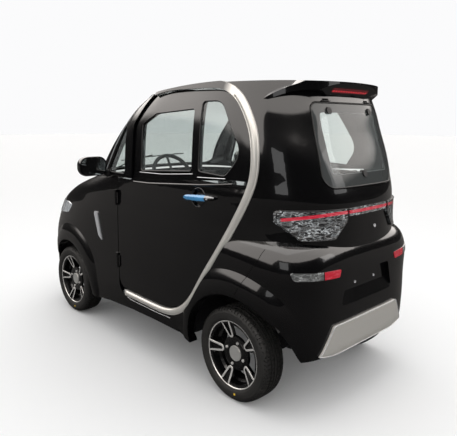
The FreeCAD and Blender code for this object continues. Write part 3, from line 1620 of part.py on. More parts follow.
def make_mirrors():
    """Door mirrors on arms from the wing tops."""
    wires = []
    for share, size in mirror_section_shares:
        y = mirror_y - mirror_depth / 2.0 + mirror_depth * share
        half_x = mirror_width / 2.0 * size
        half_z = mirror_height / 2.0 * size
        corner = min(half_x, half_z) * mirror_corner_share
        wires.append(closed_wire([
            (mirror_x - half_x, mirror_z - half_z, corner), (mirror_x + half_x, mirror_z - half_z, corner),
            (mirror_x + half_x, mirror_z + half_z, corner), (mirror_x - half_x, mirror_z + half_z, corner),
        ], on_front(y)))
    housing = Part.makeLoft(wires, True, False)
    face_y = mirror_y + mirror_depth / 2.0
    pocket = housing.common(box(mirror_x - mirror_width, mirror_x + mirror_width,
                                face_y - mirror_glass_depth, face_y, 0, body_height))
    glass = pocket.copy().scale(mirror_glass_share, V(mirror_x, face_y, mirror_z))
    arm = rod(V(mirror_foot_x, mirror_y, belt_front_z), V(mirror_x - mirror_width * mirror_arm_share, mirror_y, mirror_z),
              mirror_arm_radius)
    foot = rod(V(mirror_foot_x, mirror_y, belt_front_z), V(mirror_foot_x, mirror_y, belt_front_z + mirror_foot_height),
               mirror_foot_radius)
    save("mirrors", both_sides(joined([housing, arm, foot]).cut(glass).cut(cabin(-seat_gap, 0.0))))
    save("mirror_glasses", both_sides(glass))


def make_wing_blades():
    """Bright blade set in each front wing, blunt above and pointed below."""
    top_half = blade_top_width / 2.0
    low_half = blade_low_width / 2.0
    outline = [
        (blade_top_y - top_half, blade_top_z, blade_corner),
        (blade_top_y + top_half, blade_top_z, blade_corner),
        (blade_low_y + low_half, blade_low_z - blade_tip_drop, 0),
        (blade_low_y - low_half, blade_low_z, blade_corner),
    ]
    save("wing_blades", both_sides(layer(hull, -blade_proud, 0.0, side_outline(outline))))


def make_forms():
    """Volumes that several panels are cut from or fitted to."""
    forms = {}
    forms["hull_shell"] = hull(0.0, 0.0).cut(hull(wall, roof_wall))
    forms["tail_shell"] = tail(0.0, 0.0).cut(tail(wall, roof_wall))
    forms["cabin"] = cabin(0.0, 0.0).common(under_roof(0.0))
    forms["cabin_shell"] = forms["cabin"].cut(cabin(wall, roof_wall).common(under_roof(-roof_wall)))
    forms["above_belt"] = above_belt()
    forms["below_sill"] = below_sill()
    forms["cabin_top"] = forms["cabin"].common(box(
        -half_width * 2.0, half_width * 2.0, -half_length, half_length, scuttle_z, body_height * 2.0))
    forms["area_outer"] = area_inside(ribbon_width / 2.0, 0.0)
    forms["front_arches"] = arch_cut(front_arch_y, front_arch_radius, half_width + overrun)
    forms["rear_arches"] = arch_cut(rear_arch_y, rear_arch_radius, half_width + overrun)
    forms["steer_room"] = arch_cut(front_arch_y, front_arch_radius + steer_room_depth, steer_room_x)
    forms["front_flares"] = flare(hull_shares, front_arch_y, front_arch_radius, front_flare_stations)
    forms["rear_flares"] = flare(tail_shares, rear_arch_y, rear_arch_radius, rear_flare_stations)
    forms["screen_block"] = front_block(windscreen_outline(0.0), -half_length, pillar_rear_y)
    forms["tail_lamps"] = tail_lamp_solids()
    forms["light_bar"] = light_bar_solid()
    forms["reflectors"] = reflector_solids()
    forms["valance"] = valance_solid()
    forms["headlamps"] = headlamp_solids()
    return forms


def main():
    os.makedirs("parts", exist_ok=True)
    forms = make_forms()
    make_front_body(forms)
    make_front_bumper(forms)
    make_grille(forms)
    make_headlamps(forms)
    make_sills(forms)
    make_ribbons()
    make_door_hoops()
    make_roof(forms)
    make_front_pillars(forms)
    make_windscreen(forms)
    make_rear_body(forms)
    make_hatch(forms)
    make_tail_lamps(forms)
    make_rear_bumper(forms)
    save("rear_reflectors", forms["reflectors"])
    save("rear_valance", forms["valance"])
    make_spoiler(forms)
    make_doors(forms)
    make_frame()
    make_floor(forms)
    make_battery()
    make_rear_axle()
    make_suspension()
    make_knuckles()
    make_wheel("wheel_front_left", 1.0, front_axle_y)
    make_wheel("wheel_front_right", -1.0, front_axle_y)
    make_wheel("wheel_rear_left", 1.0, rear_axle_y)
    make_wheel("wheel_rear_right", -1.0, rear_axle_y)
    make_dashboard()
    make_steering()
    make_seats()
    make_mirrors()
    make_wing_blades()


main()
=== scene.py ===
"""Looks for the microcar: paint, glass, lamps, wheels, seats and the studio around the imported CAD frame."""

import json
import math

import bmesh
import bpy
from mathutils import Matrix, Vector
from mathutils.bvhtree import BVHTree


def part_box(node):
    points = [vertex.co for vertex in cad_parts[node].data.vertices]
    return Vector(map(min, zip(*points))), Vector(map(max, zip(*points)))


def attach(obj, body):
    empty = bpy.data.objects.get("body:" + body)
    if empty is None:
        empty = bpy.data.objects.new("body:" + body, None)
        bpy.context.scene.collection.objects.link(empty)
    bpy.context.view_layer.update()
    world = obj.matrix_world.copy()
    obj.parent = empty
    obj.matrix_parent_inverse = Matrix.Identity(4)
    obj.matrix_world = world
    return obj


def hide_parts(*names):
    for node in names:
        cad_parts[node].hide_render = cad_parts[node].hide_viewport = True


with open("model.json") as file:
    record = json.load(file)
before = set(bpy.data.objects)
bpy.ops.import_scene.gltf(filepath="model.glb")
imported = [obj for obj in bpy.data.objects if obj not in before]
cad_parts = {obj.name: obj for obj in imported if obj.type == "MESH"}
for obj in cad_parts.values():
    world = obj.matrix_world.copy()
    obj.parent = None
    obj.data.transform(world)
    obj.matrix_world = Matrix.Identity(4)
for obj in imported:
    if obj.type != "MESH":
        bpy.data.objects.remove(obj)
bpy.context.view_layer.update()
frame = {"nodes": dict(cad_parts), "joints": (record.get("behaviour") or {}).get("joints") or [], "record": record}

bl_info = {
    "name": "Microcar looks",
    "version": (1, 0, 0),
    "blender": (4, 5, 0),
    "location": "View3D > Sidebar > Microcar",
    "description": "Dresses the packed microcar with finishes, wheels, seats, trim and a studio",
    "category": "Object",
}

MM = 0.001
HANDS = (("left", 1.0), ("right", -1.0))
# Height of the seam between the lower and the upper length of each side ribbon.
WAIST = 1.0


# Settings
class PaintSettings(bpy.types.PropertyGroup):
    paint_hex: bpy.props.StringProperty(
        name="Body paint", description="Base colour of the clear-coated panels", default="#040405")
    ribbon_hex: bpy.props.StringProperty(
        name="Ribbon paint", description="Colour of the side ribbons and the valance", default="#d2cfc9")
    glass_hex: bpy.props.StringProperty(
        name="Glass tint", description="Tint of the window panes", default="#dde3e1")


class TrimSettings(bpy.types.PropertyGroup):
    seal_radius: bpy.props.FloatProperty(
        name="Seal radius", description="Radius of the rubber seal round each pane", default=5.0 * MM,
        unit="LENGTH")
    ribbon_sink: bpy.props.FloatProperty(
        name="Ribbon sink", description="How deep the round ribbon moulding sits in its channel",
        default=9.0 * MM, unit="LENGTH")
    seam_radius: bpy.props.FloatProperty(
        name="Seam width", description="Half the width of the dark joint between two panels",
        default=1.3 * MM, unit="LENGTH")


class WheelSettings(bpy.types.PropertyGroup):
    steps: bpy.props.IntProperty(
        name="Tyre steps", description="Steps round the tyre", default=210, min=48, max=240)
    block_depth: bpy.props.FloatProperty(
        name="Sipe depth", description="Depth of the slots between the shoulder blocks", default=4.5 * MM,
        unit="LENGTH")
    spoke_pairs: bpy.props.IntProperty(
        name="Spoke pairs", description="Pairs of spokes round the hub", default=5, min=3, max=9)


class SeatSettings(bpy.types.PropertyGroup):
    pressure: bpy.props.FloatProperty(
        name="Fill pressure", description="Pressure that swells the cushions", default=4.0, min=0.0)
    cap: bpy.props.FloatProperty(
        name="Swell limit", description="Furthest that a point of a cushion may move", default=24 * MM,
        unit="LENGTH")
    voxel: bpy.props.FloatProperty(
        name="Cloth grid", description="Edge length of the cloth mesh before it swells", default=8 * MM,
        unit="LENGTH")


class StageSettings(bpy.types.PropertyGroup):
    floor_hex: bpy.props.StringProperty(
        name="Floor colour", description="Colour of the studio floor", default="#f6f6f5")
    air_strength: bpy.props.FloatProperty(
        name="Room light", description="Strength of the soft light from all round", default=1.0, min=0.0)
    key_power: bpy.props.FloatProperty(
        name="Overhead light", description="Power of the overhead softbox", default=40.0, unit="POWER")
    fill_power: bpy.props.FloatProperty(
        name="Side light", description="Power of each side softbox", default=12.0, unit="POWER")


# Node and colour helpers
MATH, RANGE, MIX = "ShaderNodeMath", "ShaderNodeMapRange", "ShaderNodeMix"


def linear(hex_colour):
    """sRGB hex to linear RGBA."""
    values = [int(hex_colour[i:i + 2], 16) / 255.0 for i in (1, 3, 5)]
    return [v / 12.92 if v <= 0.04045 else ((v + 0.055) / 1.055) ** 2.4 for v in values] + [1.0]


def feed(node, inputs):
    """Sets inputs to numbers or hex colours, or links them to sockets or to other nodes."""
    for key, value in inputs.items():
        if isinstance(value, bpy.types.Node):
            # A Mix node's colour is its third output; elsewhere the first output is the one in use.
            value = value.outputs[2 if value.bl_idname == MIX else 0]
        if isinstance(value, bpy.types.NodeSocket):
            node.id_data.links.new(value, node.inputs[key])
        else:
            node.inputs[key].default_value = linear(value) if isinstance(value, str) else value


def add_node(tree, kind, inputs=None, **settings):
    """Adds a node with its settings and its inputs."""
    node = tree.nodes.new(kind)
    for key, value in settings.items():
        setattr(node, key, value)
    feed(node, inputs or {})
    return node


def new_material(name, base, **sockets):
    """A material with one Principled shader; returns the material, its tree and the shader."""
    material = bpy.data.materials.new(name)
    material.use_nodes = True
    tree = material.node_tree
    shader = tree.nodes["Principled BSDF"]
    feed(shader, {"Base Color": base})
    feed(shader, {key.replace("_", " "): value for key, value in sockets.items()})
    return material, tree, shader


def in_object(tree):
    """Object coordinates, the same at every pose."""
    return add_node(tree, "ShaderNodeTexCoord").outputs["Object"]


def object_noise(tree, size_mm, detail=2.0):
    """Noise in object coordinates with features of about size_mm."""
    return add_node(tree, "ShaderNodeTexNoise", {
        "Vector": in_object(tree), "Scale": 1.0 / (size_mm * MM), "Detail": detail})


def add_bump(shader, height, depth_mm, strength=1.0, coat=False):
    """Relief on the shader, and on its clear coat where the coat follows the surface below."""
    bump = add_node(shader.id_data, "ShaderNodeBump", {
        "Height": height, "Distance": depth_mm * MM, "Strength": strength})
    feed(shader, {"Normal": bump, "Coat Normal": bump} if coat else {"Normal": bump})


def vary_roughness(shader, source, low, high):
    """Roughness that runs over a range as the source rises."""
    feed(shader, {"Roughness": add_node(
        shader.id_data, RANGE, {"Value": source, "To Min": low, "To Max": high})})


def two_tone(shader, pattern, low, high):
    """Base colour that runs from one tone to another as the pattern rises."""
    feed(shader, {"Base Color": add_node(
        shader.id_data, MIX, {0: pattern, 6: low, 7: high}, data_type="RGBA")})


def object_axes(tree):
    """The X, Y and Z sockets of a surface point in object coordinates."""
    return add_node(tree, "ShaderNodeSeparateXYZ", {"Vector": in_object(tree)}).outputs


def band_mask(tree, distance, half_width_mm, soft_mm=0.8):
    """1 within half a width of a line, 0 outside it."""
    away = add_node(tree, MATH, {0: distance}, operation="ABSOLUTE")
    return add_node(tree, RANGE, {
        "Value": away, "From Min": (half_width_mm - soft_mm) * MM, "From Max": (half_width_mm + soft_mm) * MM,
        "To Min": 1.0, "To Max": 0.0})


def grained(name, base, grain, rough, relief=None, **sockets):
    """A finish whose roughness, and relief where it has one, follow one fine noise.

    grain is its size in mm and its detail, rough a range, and relief a depth in mm and a strength.
    Returns the material, its tree, the shader and the noise."""
    material, tree, shader = new_material(name, base, **sockets)
    noise = object_noise(tree, *grain)
    vary_roughness(shader, noise, *rough)
    if relief:
        add_bump(shader, noise, *relief)
    return material, tree, shader, noise


# Materials
def clear_coated_paint(settings):
    """Sprayed black base under clear lacquer: deep, wet reflections with a trace of orange peel."""
    material, tree, shader = new_material(
        "clear_coated_black_paint", settings.paint_hex, Coat_Weight=1.0, Coat_Roughness=0.02,
        Specular_IOR_Level=0.15)
    add_bump(shader, object_noise(tree, 14.0, 1.0), 0.03, 0.25, coat=True)
    vary_roughness(shader, object_noise(tree, 180.0, 3.0), 0.16, 0.30)
    return material


def satin_silver_paint(settings):
    """Silver metallic lacquer, satin: broad soft highlights with a fine flake."""
    # The flake is drawn 1.6 mm across, coarser than the real one, so that it shows.
    material, tree, shader, flake = grained(
        "satin_silver_lacquer", settings.ribbon_hex, (1.6, 2.0), (0.27, 0.40), Metallic=0.55,
        Coat_Weight=0.3, Coat_Roughness=0.2)
    two_tone(shader, flake, "#c2bfb8", "#dbd8d2")
    return material


def ribbon_channel_paint(settings):
    """Silver at the sides; along the roof the ribbon narrows and its channel stays black."""
    material, tree, shader, flake = grained(
        "two_tone_ribbon_channel", "#08080a", (1.6, 2.0), (0.32, 0.45), Coat_Weight=0.4,
        Coat_Roughness=0.2)
    axes = object_axes(tree)
    high = add_node(tree, RANGE, {"Value": axes["Z"], "From Min": 1.50, "From Max": 1.56})
    back = add_node(tree, RANGE, {"Value": axes["Y"], "From Min": 0.80, "From Max": 0.74})
    roof = add_node(tree, MATH, {0: high, 1: back}, operation="MULTIPLY")
    feed(shader, {
        "Base Color": add_node(tree, MIX, {0: roof, 6: settings.ribbon_hex, 7: "#08080a"}, data_type="RGBA"),
        "Metallic": add_node(tree, RANGE, {"Value": roof, "To Min": 0.55, "To Max": 0.0})})
    return material


def moulded_plastic(name="moulded_black_polypropylene", base="#131314"):
    """Injection-moulded polypropylene: matte with a leather-like mould grain."""
    material, tree, shader = new_material(name, base)
    grain = add_node(tree, "ShaderNodeTexVoronoi", {"Vector": in_object(tree), "Scale": 1.0 / (2.4 * MM)})
    add_bump(shader, grain, 0.25, 0.5)
    vary_roughness(shader, object_noise(tree, 90.0, 3.0), 0.45, 0.66)
    return material


def seal_rubber():
    """Extruded EPDM window seal: black, semi-matte, with faint drawing marks."""
    return grained("extruded_epdm_seal", "#0a0a0b", (3.0, 2.0), (0.38, 0.55), (0.1, 0.3))[0]


def joint_shadow():
    """The dark bottom of a joint between two panels: unpainted, dull."""
    material, tree, shader = new_material(
        "unpainted_panel_joint", "#020202", Roughness=0.9, Specular_IOR_Level=0.1)
    dust = object_noise(tree, 12.0, 2.0)
    two_tone(shader, dust, "#010101", "#060606")
    return material


def window_glass(settings):
    """Tempered float glass with a light grey tint: clear, with sharp reflections."""
    material, tree, shader = new_material(
        "tempered_grey_glass", settings.glass_hex, Transmission_Weight=1.0, Roughness=0.0, IOR=1.45)
    add_bump(shader, object_noise(tree, 260.0, 0.0), 0.10, 0.12)
    return material


def banded_glass(settings, low, high):
    """Rear window glass with the wide black ceramic band printed round its edge."""
    material, tree, shader = new_material(
        "banded_rear_glass", settings.glass_hex, Transmission_Weight=1.0, Roughness=0.0, IOR=1.45)
    side_band, end_band, raised, corner = 62 * MM, 56 * MM, 8 * MM, 40 * MM
    axes = object_axes(tree)
    reach = []
    for axis, start, stop, rise, band in (("X", low.x, high.x, 0.0, side_band),
                                          ("Z", low.z, high.z, raised, end_band)):
        offset = add_node(tree, MATH, {0: axes[axis], 1: (start + stop) / 2.0 + rise}, operation="SUBTRACT")
        away = add_node(tree, MATH, {0: offset}, operation="ABSOLUTE")
        reach.append(add_node(tree, MATH, {0: away, 1: (stop - start) / 2.0 - band}, operation="SUBTRACT"))
    edge = add_node(tree, MATH, {0: reach[0], 1: reach[1], 2: corner}, operation="SMOOTH_MAX")
    band = add_node(tree, RANGE, {
        "Value": edge, "From Min": -1.0 * MM, "From Max": 1.5 * MM, "To Min": 0.0, "To Max": 0.93})
    feed(shader, {
        "Base Color": add_node(tree, MIX, {0: band, 6: settings.glass_hex, 7: "#060607"}, data_type="RGBA"),
        "Transmission Weight": add_node(tree, MATH, {0: 1.0, 1: band}, operation="SUBTRACT")})
    return material


def film_crease_highlights(tree):
    """Painted highlights of crumpled clear film: bright broken lines painted along its creases and a faint painted
    sheen in patches, and its height for the relief.
    """
    # Creases run mostly across the car, so the pattern is squeezed upright.
    squeezed = add_node(tree, "ShaderNodeMapping", {"Vector": in_object(tree), "Scale": (1.0, 1.0, 3.4)})
    warp = add_node(tree, "ShaderNodeTexNoise", {"Vector": squeezed, "Scale": 1.0 / (38 * MM), "Detail": 4.0})
    pushed = add_node(tree, "ShaderNodeVectorMath", {
        0: warp.outputs["Color"], 1: (0.11, 0.11, 0.11)}, operation="MULTIPLY")
    moved = add_node(tree, "ShaderNodeVectorMath", {0: squeezed, 1: pushed}, operation="ADD")
    cells = add_node(tree, "ShaderNodeTexVoronoi", {
        "Vector": moved, "Scale": 1.0 / (52 * MM)}, feature="DISTANCE_TO_EDGE")
    crease_highlight = add_node(tree, RANGE, {
        "Value": cells, "From Min": 0.01, "From Max": 0.07, "To Min": 1.0, "To Max": 0.0})
    painted_sheen_patch = add_node(tree, RANGE, {"Value": warp, "From Min": 0.56, "From Max": 0.70})
    broken = add_node(tree, RANGE, {
        "Value": object_noise(tree, 60.0, 3.0), "From Min": 0.42, "From Max": 0.58, "To Min": 0.2,
        "To Max": 1.0})
    # The lines along the creases are painted highlights, broken up; haze is a faint painted sheen in patches.
    lines = add_node(tree, MATH, {0: crease_highlight, 1: broken}, operation="MULTIPLY")
    haze = add_node(tree, MATH, {0: painted_sheen_patch, 1: 0.22}, operation="MULTIPLY")
    return add_node(tree, MATH, {0: lines, 1: haze}, operation="MAXIMUM"), cells


def film_wrapped_lamp():
    """Tail lamp still in its clear film: dark lens with painted highlights along the film's creases, and the
    crimson light guide below.
    """
    material, tree, shader = new_material(
        "film_wrapped_tail_lens", "#141416", Roughness=0.12, Coat_Weight=1.0, Coat_Roughness=0.05)
    guide_height, guide_flat, guide_drop, guide_half, guide_reach = 1.014, 0.194, 0.336, 8.0, 476.0
    bright, height = film_crease_highlights(tree)
    axes = object_axes(tree)
    # The light guide is level behind the light bar and drops along a parabola outside it.
    across = add_node(tree, MATH, {0: axes["X"]}, operation="ABSOLUTE")
    outside = add_node(tree, MATH, {0: across, 1: guide_flat}, operation="SUBTRACT")
    away = add_node(tree, MATH, {0: outside, 1: 0.0}, operation="MAXIMUM")
    square = add_node(tree, MATH, {0: away, 1: away}, operation="MULTIPLY")
    drop = add_node(tree, MATH, {0: square, 1: guide_drop}, operation="MULTIPLY")
    level = add_node(tree, MATH, {0: axes["Z"], 1: guide_height}, operation="SUBTRACT")
    line = add_node(tree, MATH, {0: level, 1: drop}, operation="ADD")
    reach = band_mask(tree, axes["X"], guide_reach, 3.0)
    guide = add_node(tree, MATH, {0: band_mask(tree, line, guide_half), 1: reach}, operation="MULTIPLY")
    # The film's bright creases are painted highlights; over the light guide they are painted as a paler pink.
    film = add_node(tree, MIX, {0: bright, 6: "#17181a", 7: "#d3d8da"}, data_type="RGBA")
    painted_highlight_veil = add_node(tree, MATH, {0: bright, 1: 0.4}, operation="MULTIPLY")
    glow = add_node(tree, MIX, {0: painted_highlight_veil, 6: "#c00d2e", 7: "#e88a97"}, data_type="RGBA")
    two_tone(shader, guide, film, glow)
    add_bump(shader, height, 6.0, 0.7, coat=True)
    return material


def two_part_reflector():
    """Rear reflector: a red prism part inboard and a film-covered clear part outboard, both with painted
    highlights along the film's creases.
    """
    material, tree, shader = new_material(
        "two_part_prism_reflector", "#8d1020", Roughness=0.14, Coat_Weight=1.0, Coat_Roughness=0.05)
    split, middle, soft, rim_half = 0.372, 0.3715, 1.5 * MM, 3.0
    bright, height = film_crease_highlights(tree)
    away = add_node(tree, MATH, {0: object_axes(tree)["X"]}, operation="ABSOLUTE")
    outboard = add_node(tree, RANGE, {
        "Value": away, "From Min": middle - soft, "From Max": middle + soft})
    # Painted highlights along the film's creases: paler pink over the red part, near-white over the grey clear
    # part.
    painted_highlight_veil = add_node(tree, MATH, {0: bright, 1: 0.25}, operation="MULTIPLY")
    red = add_node(tree, MIX, {0: painted_highlight_veil, 6: "#b3142a", 7: "#f29aa4"}, data_type="RGBA")
    clear = add_node(tree, MIX, {0: bright, 6: "#4a4b4a", 7: "#e4e6e4"}, data_type="RGBA")
    colour = add_node(tree, MIX, {0: outboard, 6: red, 7: clear}, data_type="RGBA")
    rim = band_mask(tree, add_node(tree, MATH, {0: away, 1: split}, operation="SUBTRACT"), rim_half)
    two_tone(shader, rim, colour, "#0b0b0c")
    add_bump(shader, height, 3.0, 0.5, coat=True)
    return material


def red_lens():
    """Moulded red acrylic lens: saturated, glossy, a row of bright light cells behind fine prisms."""
    material, tree, shader = new_material(
        "moulded_red_acrylic", "#7a0d14", Roughness=0.14, Coat_Weight=0.8, Coat_Roughness=0.05)
    row_height, row_half, cell, prism = 1.5985, 3.6, 11 * MM, 1.5 * MM
    axes = object_axes(tree)
    row = band_mask(tree, add_node(tree, MATH, {0: axes["Z"], 1: row_height}, operation="SUBTRACT"), row_half)
    cells = add_node(tree, MATH, {0: axes["X"], 1: cell}, operation="PINGPONG")
    lit = add_node(tree, RANGE, {"Value": cells, "From Min": 2.0 * MM, "From Max": 4.0 * MM})
    glow = add_node(tree, MATH, {0: row, 1: lit}, operation="MULTIPLY")
    two_tone(shader, glow, "#5d0910", "#d8333d")
    add_bump(shader, add_node(tree, MATH, {0: axes["Z"], 1: prism}, operation="PINGPONG"), 0.6, 0.5)
    return material


def tyre_rubber():
    """Vulcanised tyre rubber: dark, dry, slightly dusty."""
    material, tree, shader, dust = grained("vulcanised_tyre_rubber", "#161616", (40.0, 4.0), (0.50, 0.78))
    two_tone(shader, dust, "#0d0d0d", "#201f1d")
    add_bump(shader, object_noise(tree, 2.0, 2.0), 0.15, 0.4)
    return material


def gloss_black_alloy():
    """Cast aluminium wheel under gloss black powder coat."""
    return grained("powder_coated_black_alloy", "#060607", (6.0, 2.0), (0.22, 0.34), (0.03, 0.3),
                   Coat_Weight=0.7, Coat_Roughness=0.08, Specular_IOR_Level=0.3)[0]


def machined_alloy():
    """Turned aluminium face under clear lacquer: fine tool marks and a bright edge."""
    return grained("turned_aluminium", "#dcdad6", (1.2, 3.0), (0.20, 0.34), Metallic=0.6)[0]


def painted_steel():
    """Chassis steel in satin black paint, brushed on, with a rough film."""
    return grained("painted_chassis_steel", "#17181a", (14.0, 3.0), (0.38, 0.55), (0.2, 0.4))[0]


def cast_iron():
    """Sand-cast iron: dark grey, grainy."""
    return grained("sand_cast_iron", "#3c3c3e", (3.0, 3.0), (0.5, 0.7), (0.5, 0.6), Metallic=0.8)[0]


def woven_seat_cloth():
    """Flat-woven polyester seat cloth: dark grey with a visible thread crossing."""
    material, tree, shader = new_material(
        "woven_polyester_cloth", "#2b2c30", Roughness=0.85, Sheen_Weight=0.35, Sheen_Roughness=0.5)
    # Threads are drawn 4 mm apart, coarser than the real 1.5 mm, so that they show.
    half_pitch = 2 * MM
    axes = object_axes(tree)
    slanted = add_node(tree, MATH, {0: axes["Y"], 1: axes["Z"]}, operation="ADD")
    threads = [add_node(tree, MATH, {0: axis, 1: half_pitch}, operation="PINGPONG")
               for axis in (axes["X"], slanted)]
    crossing = add_node(tree, MATH, {0: threads[0], 1: threads[1]}, operation="MAXIMUM")
    height = add_node(tree, MATH, {0: crossing, 1: 1.0 / half_pitch}, operation="MULTIPLY")
    add_bump(shader, height, 0.5, 0.7)
    fade = object_noise(tree, 120.0, 3.0)
    two_tone(shader, fade, "#232428", "#34363b")
    return material


def silvered_mirror():
    """Silvered mirror glass: a sharp image with a trace of haze."""
    return grained("silvered_mirror_glass", "#c9cdce", (60.0, 1.0), (0.01, 0.04), Metallic=1.0)[0]


def blue_film():
    """Blue protective film on the door grip, painted darker and lighter with its wrinkles as painted shade and
    painted highlights, bare grey metal where the film ends at the lock.
    """
    material, tree, shader = new_material(
        "blue_protective_film", "#3f7fae", Roughness=0.2, Coat_Weight=0.9, Coat_Roughness=0.08)
    film_end, edge = 0.720, 4 * MM
    wrinkle_relief_and_shading = object_noise(tree, 16.0, 3.0)
    add_bump(shader, wrinkle_relief_and_shading, 1.4, 0.6, coat=True)
    # The film's colour runs dark to light with its wrinkles: painted shade and painted highlights.
    blue_with_painted_shading = add_node(tree, MIX, {0: wrinkle_relief_and_shading, 6: "#14568f", 7: "#5aa8d8"}, data_type="RGBA")
    tail = add_node(tree, RANGE, {
        "Value": object_axes(tree)["Y"], "From Min": film_end, "From Max": film_end + edge})
    feed(shader, {
        "Base Color": add_node(tree, MIX, {0: tail, 6: blue_with_painted_shading, 7: "#6f7072"}, data_type="RGBA"),
        "Metallic": add_node(tree, RANGE, {"Value": tail, "To Min": 0.2, "To Max": 1.0})})
    return material


def chrome_plate():
    """Bright chromium plate: near-mirror with a faint haze."""
    return grained("bright_chromium_plate", "#d8d9db", (30.0, 2.0), (0.05, 0.12), Metallic=0.6)[0]


def cap_alloy():
    """Wheel centre cap: pressed aluminium disc with a fine ring pattern and a dull lacquer."""
    return grained("pressed_cap_aluminium", "#b9b8b4", (7.0, 3.0), (0.22, 0.42), (0.5, 0.5), Metallic=0.6)[0]


def clear_lens():
    """Headlamp: clear moulded lens close over a faceted chromed bowl, bright and cool, painted lighter and darker
    cell by cell as painted reflections of the bowl.
    """
    material, tree, shader = new_material(
        "clear_lens_over_chromed_bowl", "#dfe5ea", Metallic=0.45, Roughness=0.12, Coat_Weight=1.0,
        Coat_Roughness=0.03)
    facets_and_reflections = add_node(tree, "ShaderNodeTexVoronoi", {"Vector": in_object(tree), "Scale": 1.0 / (26 * MM)})
    add_bump(shader, facets_and_reflections, 5.0, 0.6)
    # Cell by cell lighter and darker: painted reflections of the chromed bowl.
    two_tone(shader, facets_and_reflections, "#f2f5f7", "#aab2b8")
    return material


def seen_in_gloss(tree):
    """1 for rays mirrored by a surface, 0 for rays seen directly, through glass or as soft light."""
    path = add_node(tree, "ShaderNodeLightPath").outputs
    direct = add_node(tree, MATH, {0: 1.0, 1: path["Is Transmission Ray"]}, operation="SUBTRACT")
    return add_node(tree, MATH, {0: path["Is Glossy Ray"], 1: direct}, operation="MULTIPLY")


def studio_floor(settings):
    """Matte painted studio floor; gloss sees it flagged off, so that black paint stays black."""
    material, tree, shader, roll = grained(
        "matte_studio_floor", settings.floor_hex, (300.0, 2.0), (0.85, 0.95))
    feed(shader, {"Base Color": add_node(
        tree, MIX, {0: seen_in_gloss(tree), 6: settings.floor_hex, 7: "#2c2b2a"}, data_type="RGBA")})
    return material


# Mesh helpers
def add_piece(mesh, name, body, materials, hides=()):
    """Puts a mesh in the scene as a piece that rides on a body and takes its finish from a slot."""
    for material in materials:
        mesh.materials.append(material)
    piece = bpy.data.objects.new(name, mesh)
    bpy.context.scene.collection.objects.link(piece)
    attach(piece, body)
    if hides:
        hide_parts(*hides)
    return piece


def finish_piece(bm, name, body, materials, angle=35.0, hides=()):
    """Turns a bmesh into a piece with merged doubles, outward faces and soft shading."""
    bmesh.ops.remove_doubles(bm, verts=bm.verts, dist=0.01 * MM)
    bmesh.ops.recalc_face_normals(bm, faces=bm.faces)
    mesh = bpy.data.meshes.new(name)
    bm.to_mesh(mesh)
    bm.free()
    mesh.shade_smooth()
    mesh.set_sharp_from_angle(angle=math.radians(angle))
    return add_piece(mesh, name, body, materials, hides)


def spun(bm, outline, steps):
    """Spins a closed outline of (x, radius) points round the X axis; returns the new faces."""
    verts = [bm.verts.new((x, 0.0, radius)) for x, radius in outline]
    edges = [bm.edges.new((verts[i - 1], verts[i])) for i in range(len(verts))]
    known = set(bm.faces)
    bmesh.ops.spin(bm, geom=verts + edges, cent=(0, 0, 0), axis=(1, 0, 0), angle=2.0 * math.pi,
                   steps=steps, use_merge=True, use_duplicate=False)
    return [face for face in bm.faces if face not in known]


def placed(bm, side, centre):
    """Mirrors a left-hand piece for the right side and moves it to its place."""
    bmesh.ops.scale(bm, vec=(side, 1.0, 1.0), verts=bm.verts)
    bmesh.ops.translate(bm, vec=centre, verts=bm.verts)


def rounded_box(bm, low, high, radius, segments=3):
    """Box with bevelled edges; returns its faces."""
    low, high = Vector(low), Vector(high)
    size = high - low
    matrix = Matrix.Translation((low + high) / 2.0) @ Matrix.Diagonal((size.x, size.y, size.z, 1.0))
    known = set(bm.faces)
    made = bmesh.ops.create_cube(bm, size=1.0, matrix=matrix)
    edges = {edge for vert in made["verts"] for edge in vert.link_edges}
    bmesh.ops.bevel(bm, geom=list(edges), offset=radius, segments=segments, affect="EDGES", profile=0.5,
                    material=-1, clamp_overlap=True)
    return [face for face in bm.faces if face not in known]


def joint_place(name):
    for joint in frame["joints"]:
        if joint["name"] == name:
            return Vector(joint["pos_m"])
    raise RuntimeError("no joint named " + name)


# Lines taken from the CAD frame
def merged_node(name):
    """A merged bmesh copy of a CAD node."""
    bm = bmesh.new()
    bm.from_mesh(frame["nodes"][name].data)
    bmesh.ops.remove_doubles(bm, verts=bm.verts, dist=0.02 * MM)
    bm.normal_update()
    return bm


def pane_edges(name, outward, limit=0.45, shortest=0.2):
    """Closed loops round the faces of a CAD node that look outward, each as ordered points."""
    bm = merged_node(name)
    looks = {face: face.normal.dot(outward(face.calc_center_median())) > limit for face in bm.faces}
    rims = dict.fromkeys(corner for face in bm.faces if looks[face] for corner in face.loops
                         if not looks[corner.link_loop_radial_next.face])
    waiting = dict(rims)
    loops = []
    while waiting:
        corner = next(iter(waiting))
        loop = []
        while corner in waiting:
            del waiting[corner]
            loop.append(corner.vert.co.copy())
            corner = corner.link_loop_next
            # Turns about the far point, over faces that look outward, to the next edge of the rim.
            while corner not in rims:
                corner = corner.link_loop_radial_next.link_loop_next
        if path_length(loop) > shortest:
            loops.append(loop)
    bm.free()
    return loops


def path_length(points):
    return sum((points[i] - points[i - 1]).length for i in range(1, len(points)))


def evenly(points, count):
    """A number of points spaced evenly along an open path."""
    total = path_length(points)
    result = [points[0].copy()]
    walked, index = 0.0, 1
    for step in range(1, count):
        target = total * step / (count - 1)
        while index < len(points) - 1 and walked + (points[index] - points[index - 1]).length < target:
            walked += (points[index] - points[index - 1]).length
            index += 1
        span = (points[index] - points[index - 1]).length or 1.0
        result.append(points[index - 1].lerp(points[index], min(1.0, (target - walked) / span)))
    return result


